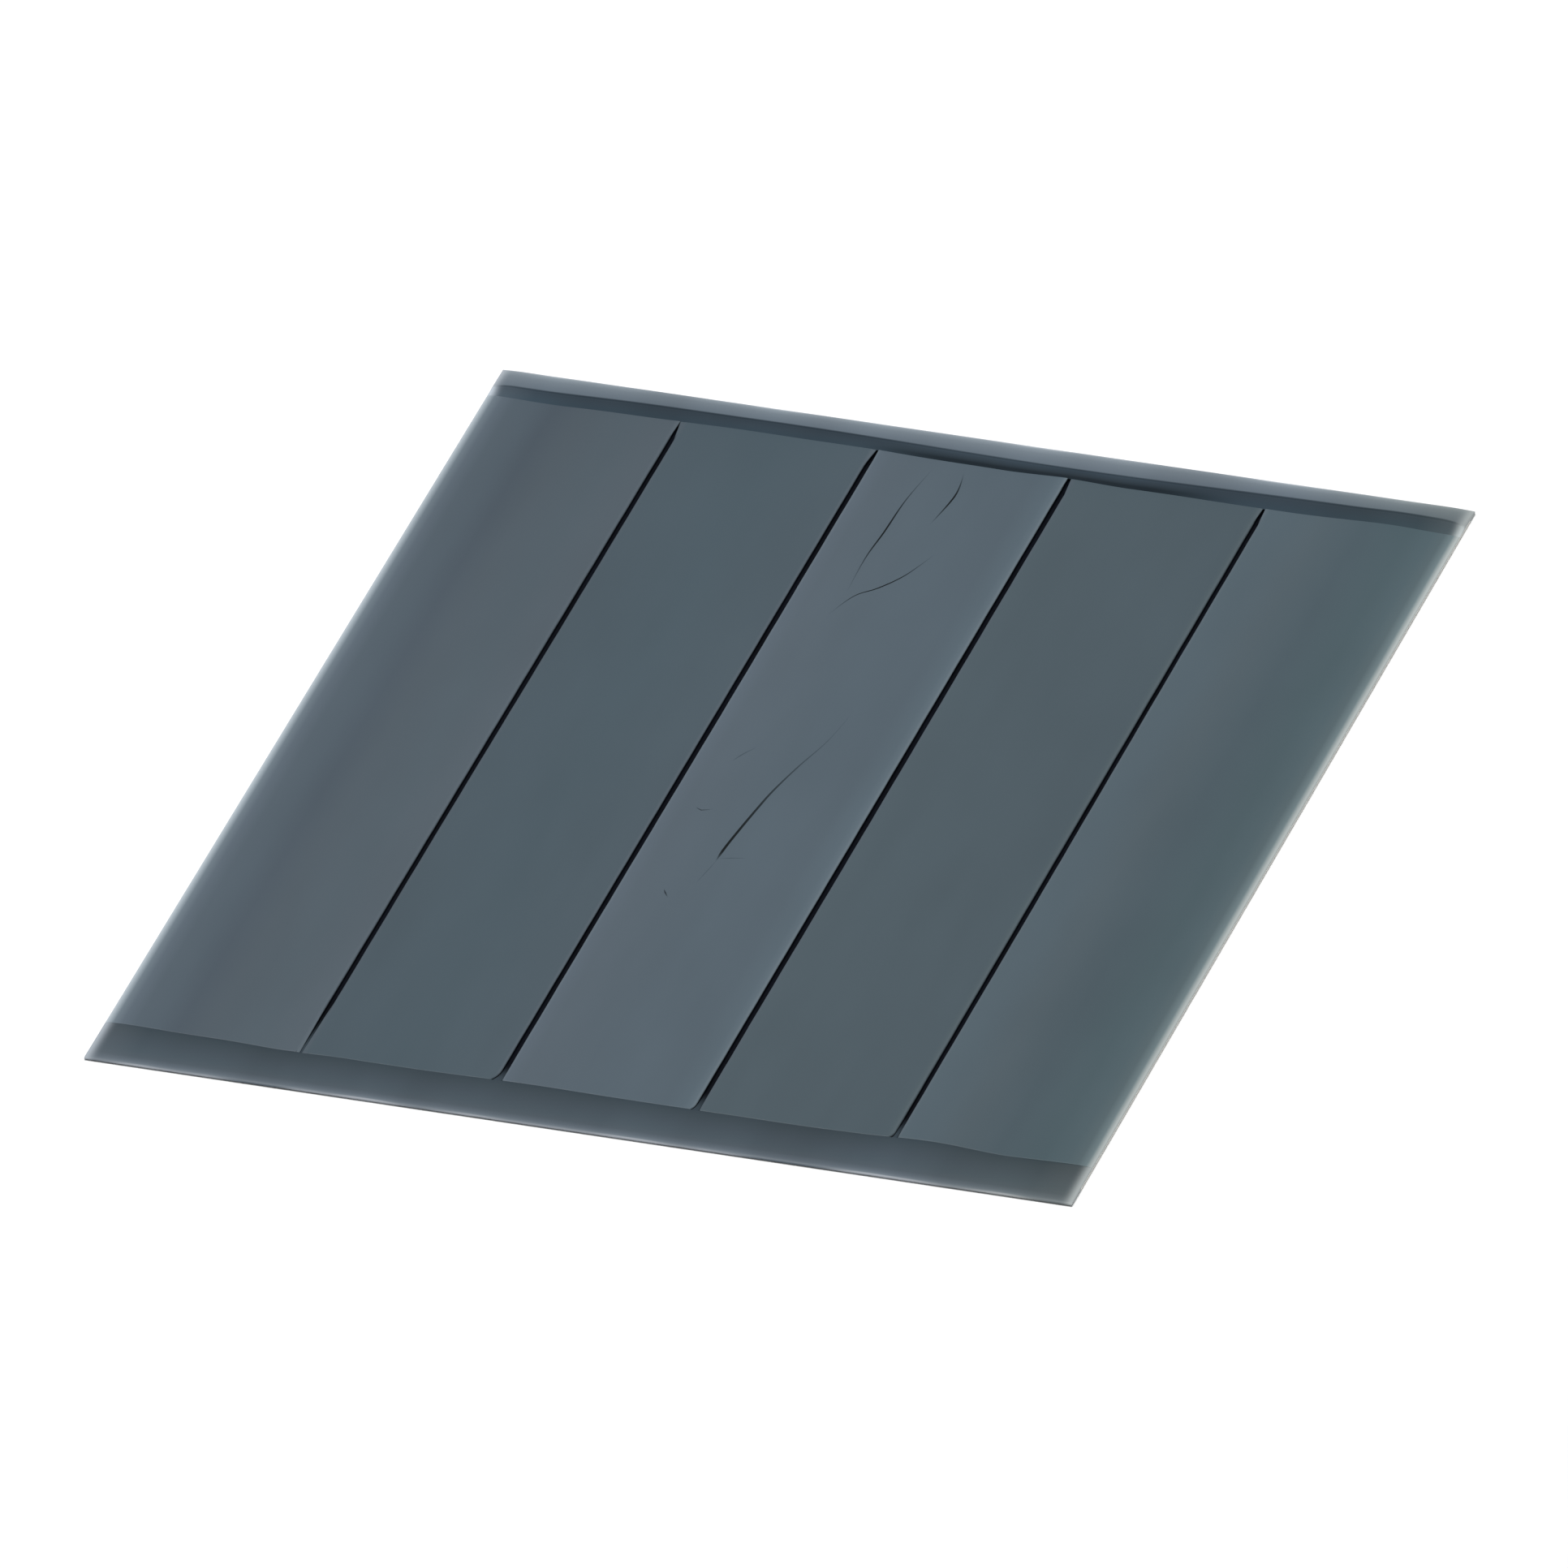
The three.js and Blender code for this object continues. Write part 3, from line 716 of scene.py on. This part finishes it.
def across_film(strip):
    """(x, drop, angle on a rolled side, never inked) from left to right over a strip."""
    low, high = film_boxes[strip]
    left_roll = OUTER_ROLL if strip == 1 else SEAM_ROLL[strip - 1]
    right_roll = OUTER_ROLL if strip == 5 else SEAM_ROLL[strip]

    def rolled(roll, outer):
        steps = 12 if outer else 6
        return [
            (roll.width * (1 - math.cos(angle)), roll.height * (1 - math.sin(angle)), angle, outer)
            for angle in quarter(steps)
        ]

    near = [(low[0] + d, drop, angle, outer) for d, drop, angle, outer in rolled(left_roll, strip == 1)]
    far = [(high[0] - d, drop, angle, outer) for d, drop, angle, outer in rolled(right_roll, strip == 5)]
    inner = spread(near[-1][0], far[-1][0], FILM_STEP_ACROSS)[1:-1]
    return near + [(x, 0.0, math.pi / 2, True) for x in inner] + far[::-1]


def along_film():
    """(y, drop) from front to back over a strip, closer together near the ends."""
    width, height = FILM_END_ROLL
    ends = [(width * (1 - math.cos(angle)), height * (1 - math.sin(angle))) for angle in quarter(4)]
    ends += [(d, 0.0) for d in FILM_END_STEPS]
    start = [(FILM_FRONT + d, drop) for d, drop in ends]
    stop = [(FILM_BACK - d, drop) for d, drop in reversed(ends)]
    middle = [(y, 0.0) for y in spread(start[-1][0], stop[0][0], FILM_STEP_ALONG)[1:-1]]
    return start + middle + stop


def film_skin(strip):
    """A strip's film: its rows end on the front and back lines, and its sides roll down."""
    low, high = film_boxes[strip]
    width = high[0] - low[0]
    columns = across_film(strip)
    rows = along_film()
    top, bottom, ink = [], [], []
    for row_y, end_drop in rows:
        left, right = side_shifts(strip, row_y)
        for column_x, side_drop, angle, outer in columns:
            share = (column_x - low[0]) / width
            x = column_x + left * (1 - share) + right * share
            near_front = 1 - smooth((row_y - FILM_FRONT) / LINE_REACH)
            near_back = 1 - smooth((FILM_BACK - row_y) / LINE_REACH)
            y = row_y + (front_line(column_x) - FILM_FRONT) * near_front
            y += (back_line(column_x) - FILM_BACK) * near_back
            z = film_face(strip, x, row_y) - math.hypot(side_drop, end_drop)
            top.append((x, y, max(z, FILM_UNDERSIDE + FILM_THINNEST)))
            bottom.append((column_x, y, FILM_UNDERSIDE))
            # Painted shade: the sides rolled into a seam, and the underside below them, are painted black
            ink.append(0.0 if outer else 1 - smooth((angle - SEAM_SHADE_ANGLE) / SEAM_SHADE_FADE))
    under_black_share = [0.0 if outer else 1.0 for _ in rows for _, _, _, outer in columns]
    faces = slab_faces(len(rows), len(columns))
    name = f"film_skin_{strip}"
    skin = make_piece(name, top + bottom, faces, film_materials[strip], "front_film", ink=ink + under_black_share)
    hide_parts(f"front_film_{strip}")
    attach(skin, f"strip_{strip}")


# ---------------------------------------------------------------- hem and rail

# Each piece runs from the middle of one strip to the middle of the next, with a shallow relief
# groove in its underside at its seam, meant to keep a bend there off the ground
HEM_REACH = 4.0
RAIL_REACH = 6.0
HEM_END_ROLL = 14.0
RAIL_END_ROLL = 16.0
HEM_NOSE = Roll(3.0, 1.1)
HEM_NOSE_CENTRE = 0.9
HEM_CREST = 3.0
HEM_INNER_TOP = 2.6
RAIL_FOOT_TOP = 2.2
CREST_ROUND = Roll(0.6, 0.3)
FLANK_HOLLOW = Roll(4.2, 0.15)  # how far before the flank's top and above its foot its curve is pulled
POCKET_GAP = 0.3
MOULDING_STEP = 4.0
BEND_STEP = 0.7
SAME_STATION = 0.05
ROOF_OVER_JUMPERS = 2.15
ROOF_BETWEEN = 1.85
JUMPER_ROOM = 14.2  # the higher roof's reach on each side of a seam
END_ROOM = 6.4  # the lowest roof's reach from the sheet's sides
ROOF_STEP = 0.2  # half the length of a step in the roof
RELIEF_SLOPE = 0.09
RELIEF_EDGE = 0.5
RELIEF_FADE = 2


def moulding_stations(seam, end_roll):
    """Places along a hem or rail piece, close together at its seam and at an outer end."""
    seam_x = SEAM_X[seam]
    start = -HALF_WIDTH if seam == 1 else STRIP_MIDDLE[seam]
    end = HALF_WIDTH if seam == 4 else STRIP_MIDDLE[seam + 1]
    stations = spread(start, end, MOULDING_STEP)
    stations += spread(seam_x - RAIL_REACH - 1, seam_x + RAIL_REACH + 1, BEND_STEP)
    steps = (JUMPER_ROOM - ROOF_STEP, JUMPER_ROOM + ROOF_STEP)
    stations += [seam_x + side * d for side in (-1, 1) for d in steps]
    rolled = [end_roll * (1 - math.cos(angle)) for angle in quarter(14)]
    rolled += [END_ROOM - ROOF_STEP, END_ROOM + ROOF_STEP]
    if seam == 1:
        stations += [start + d for d in rolled]
    if seam == 4:
        stations += [end - d for d in rolled]
    tidy = []
    for x in sorted(stations):
        if not tidy or x - tidy[-1] > SAME_STATION:
            tidy.append(x)
    return tidy


def lowered_at_end(x, z, end_roll):
    """A height above the edge fades out in a quarter ellipse towards the sheet's sides."""
    from_end = HALF_WIDTH - abs(x)
    if z <= EDGE_TOP or from_end >= end_roll:
        return z
    return EDGE_TOP + (z - EDGE_TOP) * math.sqrt(max(0.0, 1 - (1 - from_end / end_roll) ** 2))


def from_nearest_seam(x):
    return min(abs(x - place) for place in SEAM_X.values())


def roof_over_laminate(x):
    """The underside that covers the laminate: highest over the jumpers, lowest at the outer ends."""
    if HALF_WIDTH - abs(x) < END_ROOM:
        return FILM_UNDERSIDE
    return ROOF_OVER_JUMPERS if from_nearest_seam(x) < JUMPER_ROOM else ROOF_BETWEEN


def relief(x, reach):
    """The height of the underside's relief groove."""
    return RELIEF_SLOPE * reach * smooth((reach + RELIEF_EDGE - from_nearest_seam(x)) / RELIEF_FADE)


def hem_ring(x):
    """A section of the hem at x, as (point, distance from the edge before any waves)."""
    roof = roof_over_laminate(x)
    rebate = LAMINATE_FRONT - POCKET_GAP
    nose_back = FRONT + HEM_NOSE.width
    nose_top = HEM_NOSE_CENTRE + HEM_NOSE.height
    middle = (nose_back + FILM_FRONT) / 2
    top = quadratic((FILM_FRONT, HEM_INNER_TOP), (middle, HEM_CREST), (nose_back, nose_top), 14)
    nose = [
        (nose_back - HEM_NOSE.width * math.sin(a), HEM_NOSE_CENTRE + HEM_NOSE.height * math.cos(a))
        for a in quarter(6)[1:]
    ]
    stray = front_line(x) - FILM_FRONT
    ring = []
    for y, z in top + nose:
        share = smooth((y - nose_back) / (FILM_FRONT - nose_back))
        z += wave(x, (0.05, 57, y / 9)) * share * (1 - share) * 4
        ring.append(((x, y + stray * share, lowered_at_end(x, z, HEM_END_ROLL)), y - FRONT))
    floor = relief(x, HEM_REACH)
    below = [(x, FRONT + HEM_NOSE_CENTRE, floor), (x, rebate, floor), (x, rebate, roof)]
    below.append((x, FILM_FRONT + stray, roof))
    return ring + [(point, point[1] - FRONT) for point in below]


def rail_ring(x):
    """The same for the rail."""
    roof = roof_over_laminate(x)
    rebate = LAMINATE_BACK + POCKET_GAP
    crest = BACK - CREST_FROM_BACK
    flank_top = (crest - CREST_ROUND.width, RAIL_TOP - CREST_ROUND.height)
    hollow = (flank_top[0] - FLANK_HOLLOW.width, RAIL_FOOT_TOP + FLANK_HOLLOW.height)
    top = quadratic((FILM_BACK, RAIL_FOOT_TOP), hollow, flank_top, 10)
    top += [
        (crest - CREST_ROUND.width * math.cos(a), flank_top[1] + CREST_ROUND.height * math.sin(a))
        for a in quarter(5)[1:]
    ]
    top += [
        (crest + CREST_FROM_BACK * math.sin(a), EDGE_TOP + (RAIL_TOP - EDGE_TOP) * math.cos(a))
        for a in quarter(16)[1:]
    ]
    stray = back_line(x) - FILM_BACK
    ring = []
    for y, z in top:
        if y <= crest:
            share = (y - FILM_BACK) / (crest - FILM_BACK)
            shift = stray * (1 - share) + crest_line(x) * share
        else:
            shift = crest_line(x) * (BACK - y) / CREST_FROM_BACK
        ring.append(((x, y + shift, lowered_at_end(x, z, RAIL_END_ROLL)), BACK - y))
    floor = relief(x, RAIL_REACH)
    below = [(x, BACK, floor), (x, rebate, floor), (x, rebate, roof)]
    below.append((x, FILM_BACK + stray, roof))
    return ring + [(point, BACK - point[1]) for point in below]


def bend_at_seam(piece):
    """Bakes the piece's placement into its mesh."""
    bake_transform(piece)


def moulding(name, seam, ring_of, end_roll, material):
    """One piece of hem or rail. It stands for one strip's CAD node, or at the last seam for two."""
    rings = [ring_of(x) for x in moulding_stations(seam, end_roll)]
    piece = loft_piece(f"{name}_skin_{seam}", rings, material, name, "from_edge")
    nodes = [f"{name}_{strip}" for strip in ([seam, seam + 1] if seam == 4 else [seam])]
    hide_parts(*nodes)
    bend_at_seam(piece)


# ---------------------------------------------------------------- seam hinges and jumpers

FLANGE_WIDTH = 6.0
FLANGE_TOP = 0.3
WEB_TOP = 0.6
LIP_TOP = 1.45
LIP_THICKNESS = 0.25
FIT_GAP = 0.05
CHANNEL_GAP = 0.08  # between a strip's overhang and the channel's wall below it
CHANNEL_SIDE = 0.15  # how far the channel's floor drops towards its sides
CHANNEL_LOWEST = 0.9
WEB_UNDER_HEM = 6  # the web sinks again over this length under the hem
FOOT_LENGTH = {1: 50.0, 2: 24.0, 3: 26.0, 4: 32.0}  # the web rises towards the hem over this length
FOOT_TOP = 2.35
# how far the web is painted grey where it rises towards the hem: painted light as the gap's shade lifts
FOOT_GREY = 0.62


def web_ring(seam, y):
    """A channel between the strips with a flange under each, as (point, share of black); its floor is
    painted greyer where it rises towards the hem.
    """
    x = SEAM_X[seam]
    edge = SEAM_GAP[seam] / 2 - FIT_GAP
    flange = SEAM_GAP[seam] / 2 + FLANGE_WIDTH
    inner = SEAM_GAP[seam] / 2 - max(OVERHANG[seam] + CHANNEL_GAP, FIT_GAP + LIP_THICKNESS + 0.05)
    before_hem = smooth((FILM_FRONT + FOOT_LENGTH[seam] - y) / FOOT_LENGTH[seam])
    under_hem = smooth((y - FILM_FRONT + WEB_UNDER_HEM) / WEB_UNDER_HEM)
    rise = before_hem if y >= FILM_FRONT else under_hem
    floor = WEB_TOP + (FOOT_TOP - WEB_TOP) * rise
    ink = 1 - FOOT_GREY * rise

    def half(side, reach):
        return [
            ((x + side * flange, y, 0.0), 1.0),
            ((x + side * flange, y, FLANGE_TOP), 1.0),
            ((x + side * edge, y, FLANGE_TOP), 1.0),
            ((x + side * edge, y, LIP_TOP), 1.0),
            ((x + side * (edge - LIP_THICKNESS), y, LIP_TOP), 1.0),
            ((x + side * reach, y, max(CHANNEL_LOWEST, floor - CHANNEL_SIDE)), ink),
            ((x + side * 0.4 * edge, y, floor), ink),
        ]

    right = half(1, inner)
    left = half(-1, inner + flared(RIGHT_FLARE[seam], max(0.0, y - FILM_FRONT)))[::-1]
    under = [((x + share * edge, y, 0.0), 1.0) for share in (-1, -0.6, -0.3, 0, 0.3, 0.6, 1)]
    return right + left + under


def seam_web(seam, material):
    """A hinge's elastomer web, with more rings where it rises towards the hem."""
    places = spread(LAMINATE_FRONT, FILM_FRONT - WEB_UNDER_HEM, 4.0)
    places += spread(FILM_FRONT - WEB_UNDER_HEM + 1, FILM_FRONT, 1.0)
    foot_end = FILM_FRONT + FOOT_LENGTH[seam]
    places += spread(FILM_FRONT + 1, foot_end, 1.5)
    places += spread(foot_end + 6, LAMINATE_BACK, 9.0)
    rings = [web_ring(seam, y) for y in places]
    piece = loft_piece(f"seam_web_{seam}", rings, material, "seam_hinge", "ink")
    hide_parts(f"seam_hinge_{seam}")
    bend_at_seam(piece)


# Near the rail, and at seam 1 near the hem, a soft tip of film fills the gap from each side, so that
# the black slit narrows. Each has the slit's width at the end, and the left one's share of the filling.
Tip = namedtuple("Tip", "seam towards length slit left_share")
TIPS = [
    Tip(1, "rail", 25.0, 0.1, 0.25),
    Tip(2, "rail", 25.0, 1.5, 0.85),
    Tip(3, "rail", 25.0, 2.0, 0.2),
    Tip(4, "rail", 25.0, 1.2, 0.5),
    Tip(1, "hem", 75.0, 1.2, 0.5),
]
TIP_BELOW_FILM = 0.06
TIP_UNDER_ROLL = 0.8  # how far a tip reaches in under the film's rounded edge
TIP_STEP = 1.0
TIP_WALL_GAP = 0.03
TIP_CURVE = 1.5


def tip_ring(tip, side, y, share, from_end):
    """A section of the tip on the left (side -1) or the right (side 1) of a seam, as (point, share of
    black): its sides in the slit, and its top where it is still thin, are painted black as the slit's
    shade.
    """
    gap = SEAM_GAP[tip.seam]
    part = tip.left_share if side < 0 else 1 - tip.left_share
    wall = SEAM_X[tip.seam] + side * gap / 2
    inner = wall + side * TIP_UNDER_ROLL * smooth(3 * share)
    outer = wall - side * (TIP_WALL_GAP + part * (gap - tip.slit) * share**TIP_CURVE)
    top = STRIP_TOPS[strip_beside(tip.seam, side)] - TIP_BELOW_FILM - (1 - smooth(2.2 * share))
    past_roll = max(0.0, 1 - from_end / FILM_END_ROLL.width)
    top -= FILM_END_ROLL.height * (1 - math.sqrt(max(0.0, 1 - past_roll**2)))
    bottom = WEB_TOP + 0.1
    hidden = 1 - smooth(2 * share)
    return [
        ((inner, y, bottom), 1.0),
        ((outer, y, bottom), 1.0),
        ((outer, y, top - 0.9), 1.0),
        ((outer, y, top - 0.35), max(hidden, 0.7)),
        ((outer + side * 0.12, y, top - 0.1), max(hidden, 0.15)),
        ((outer + side * 0.4, y, top), hidden),
        ((inner + side * 0.41, y, top), hidden),
    ]


def strip_beside(seam, side):
    """The strip on the left (side -1) or the right (side 1) of a seam."""
    return seam if side < 0 else seam + 1


def film_tip(tip, side):
    """One side's tip, from nothing to its full width where the film ends."""
    if tip.towards == "rail":
        start, end, forward = FILM_BACK - tip.length, back_line(SEAM_X[tip.seam]), 1
    else:
        start, end, forward = FILM_FRONT + tip.length, front_line(SEAM_X[tip.seam]), -1
    places = spread(start, end - forward * FILM_END_ROLL.width, TIP_STEP)
    places += [end - forward * FILM_END_ROLL.width * (1 - math.cos(angle)) for angle in quarter(5)[4::-1]]
    rings = [tip_ring(tip, side, y, min(1.0, abs(y - start) / tip.length), abs(end - y)) for y in places]
    name = f"film_tip_{tip.towards}_{tip.seam}_{'left' if side < 0 else 'right'}"
    piece = loft_piece(name, rings, film_materials[strip_beside(tip.seam, side)], "front_film", "ink")
    bend_at_seam(piece)


JUMPER_SOFT_EDGE = 0.06
JUMPER_STEP = 0.8


def jumper_ribbon(seam, material):
    """A flat ribbon with softened edges that joins two strips under the hem or the rail."""
    low, high = jumper_boxes[seam]
    soft = JUMPER_SOFT_EDGE
    section = [
        (low[1] + soft, low[2]),
        (high[1] - soft, low[2]),
        (high[1], low[2] + soft),
        (high[1], high[2] - soft),
        (high[1] - soft, high[2]),
        (low[1] + soft, high[2]),
        (low[1], high[2] - soft),
        (low[1], low[2] + soft),
    ]
    places = spread(low[0], high[0], JUMPER_STEP)
    points = [(x, y, z) for x in places for y, z in section]
    faces = loft_faces(len(places), len(section))
    piece = make_piece(f"jumper_ribbon_{seam}", points, faces, material, "tinned_copper")
    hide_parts(f"jumper_{seam}")
    bend_at_seam(piece)


# ---------------------------------------------------------------- scratches on the middle strip

SCRATCHED_STRIP = 3

# Each scratch: its widest width, how dark it is, the places it passes, and the share of its length
# at which it is widest
Scratch = namedtuple("Scratch", "width ink places peak", defaults=[0.5])
SCRATCHES = {
    "long": Scratch(
        1.7,
        1.0,
        [(15, 83), (11, 52), (3, 18), (-3, -13), (-6, -36), (-9, -64), (-11, -86), (-11.7, -102)],
        0.93,
    ),
    "long_tail": Scratch(0.5, 0.2, [(-11.5, -101), (-13, -113), (-15.5, -130)]),
    "long_foot": Scratch(0.6, 0.3, [(-11.5, -99), (-3.5, -96), (4.5, -94)]),
    "upper": Scratch(1.05, 1.0, [(-21.5, 379), (-26, 340), (-27.5, 300), (-29.3, 268), (-28.5, 228)]),
    "arc": Scratch(1.1, 1.0, [(-2, 381), (0.5, 354), (-4, 317)]),
    "curl": Scratch(1.0, 1.0, [(8.5, 282), (-1, 254), (-12, 235), (-21, 225), (-26, 214), (-31, 197)]),
    "smile": Scratch(0.9, 0.8, [(-41, -44), (-37, -47), (-31, -44)]),
    "dash": Scratch(0.7, 0.35, [(-36, 14), (-32, 24), (-27, 33)]),
    "tick": Scratch(1.0, 0.8, [(-31.5, -142), (-29.5, -146), (-26.5, -151)]),
}
SCRATCH_RISE = 0.02
SCRATCH_DEPTH = 0.15
SCRATCH_STEP = 3.0
SCRATCH_POINT = 0.12  # the width of its ends, as a share of the widest
SCRATCH_FULLNESS = 0.6  # below 1, a scratch keeps its width for longer


def curve_through(places, step):
    """Points about a step apart on a smooth (Catmull-Rom) curve through the places."""
    ends = [places[0], *places, places[-1]]
    points = []
    for a, b, c, d in zip(ends, ends[1:], ends[2:], ends[3:]):
        count = max(2, round(math.dist(b, c) / step))
        for index in range(count):
            t = index / count
            weights = (
                -0.5 * t**3 + t**2 - 0.5 * t,
                1.5 * t**3 - 2.5 * t**2 + 1,
                -1.5 * t**3 + 2 * t**2 + 0.5 * t,
                0.5 * t**3 - 0.5 * t**2,
            )
            points.append(tuple(sum(w * p[k] for w, p in zip(weights, (a, b, c, d))) for k in (0, 1)))
    return points + [places[-1]]


def scratch(name, mark, material):
    """A thin sliver let into the film, widest and darkest at its peak and pointed at both ends."""
    path = curve_through(mark.places, SCRATCH_STEP)
    corners = [(-1, SCRATCH_RISE), (1, SCRATCH_RISE), (1, -SCRATCH_DEPTH), (-1, -SCRATCH_DEPTH)]
    points, ink = [], []
    for index, (x, y) in enumerate(path):
        before = path[max(0, index - 1)]
        after = path[min(len(path) - 1, index + 1)]
        along = Vector((after[0] - before[0], after[1] - before[1])).normalized()
        share = index / (len(path) - 1)
        body = smooth(min(share / mark.peak, (1 - share) / (1 - mark.peak))) ** SCRATCH_FULLNESS
        half = mark.width / 2 * (SCRATCH_POINT + (1 - SCRATCH_POINT) * body)
        z = film_face(SCRATCHED_STRIP, x, y)
        for side, height in corners:
            points.append((x - along.y * half * side, y + along.x * half * side, z + height))
            ink.append(mark.ink * body)
    faces = loft_faces(len(path), len(corners))
    piece = make_piece(f"scratch_{name}", points, faces, material, "front_film", ink=ink)
    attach(piece, f"strip_{SCRATCHED_STRIP}")


# ---------------------------------------------------------------- the CAD nodes that stay


def repaint(prefix, material):
    """Give a material to every CAD node whose name starts like this."""
    for name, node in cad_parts.items():
        if name.startswith(prefix):
            node.data.materials.clear()
            node.data.materials.append(material)


# ---------------------------------------------------------------- build everything

for strip in STRIPS:
    film_skin(strip)
for seam in SEAMS:
    moulding("front_hem", seam, hem_ring, HEM_END_ROLL, hem_material)
    moulding("back_rail", seam, rail_ring, RAIL_END_ROLL, rail_material)
web_material = web_surface()
jumper_material = tinned_copper("jumper_copper", Recipe.rest_place)
for seam in SEAMS:
    seam_web(seam, web_material)
    jumper_ribbon(seam, jumper_material)
for tip in TIPS:
    film_tip(tip, -1)
    film_tip(tip, 1)
scratch_material = scratch_surface()
for mark_name, mark in SCRATCHES.items():
    scratch(mark_name, mark, scratch_material)

ribbon_material = tinned_copper("ribbon_copper", Recipe.object_place)
repaint("bus_", ribbon_material)
repaint("terminal_pad_", ribbon_material)
repaint("backsheet_", backsheet_surface())
repaint("encapsulant_", encapsulant_surface())
repaint("cell_", cell_surface())


# ---------------------------------------------------------------- studio

FLOOR_HALF = 30.0
FLOOR_Z = -0.0001
FLOOR_WHITE = 0.9
WORLD_ZENITH = 0.35
WORLD_HORIZON = 0.42
KEY_POWER = 362.0
KEY_SIZE = 4.0
KEY_PLACE = Vector((-0.8, 0.6, 6.0))


def add_floor():
    mesh = bpy.data.meshes.new("floor")
    corners = [(-1, -1), (1, -1), (1, 1), (-1, 1)]
    mesh.from_pydata([(x * FLOOR_HALF, y * FLOOR_HALF, FLOOR_Z) for x, y in corners], [], [(0, 1, 2, 3)])
    recipe = Recipe("pale_floor", Roughness=0.9, Specular_IOR_Level=0.0)
    mesh.materials.append(recipe.finish(Base_Color=(FLOOR_WHITE, FLOOR_WHITE, FLOOR_WHITE, 1.0)))
    floor = bpy.data.objects.new("floor", mesh)
    bpy.context.collection.objects.link(floor)


def add_world():
    """Soft white surroundings, brighter near the horizon than overhead."""
    world = bpy.data.worlds.new("studio")
    world.use_nodes = True
    tree = world.node_tree
    place = tree.nodes.new("ShaderNodeTexCoord")
    split = tree.nodes.new("ShaderNodeSeparateXYZ")
    height = tree.nodes.new("ShaderNodeMapRange")
    height.inputs[3].default_value = WORLD_HORIZON
    height.inputs[4].default_value = WORLD_ZENITH
    tree.links.new(place.outputs["Generated"], split.inputs[0])
    tree.links.new(split.outputs["Z"], height.inputs["Value"])
    tree.links.new(height.outputs["Result"], tree.nodes["Background"].inputs["Strength"])
    tree.nodes["Background"].inputs["Color"].default_value = (1.0, 1.0, 1.0, 1.0)
    bpy.context.scene.world = world


def add_key_light():
    data = bpy.data.lights.new("key", "AREA")
    data.energy = KEY_POWER
    data.size = KEY_SIZE
    key = bpy.data.objects.new("key", data)
    key.location = KEY_PLACE
    key.rotation_euler = (-KEY_PLACE).to_track_quat("-Z", "Y").to_euler()
    bpy.context.collection.objects.link(key)


add_floor()
add_world()
add_key_light()
bpy.context.scene.view_settings.view_transform = "Standard"
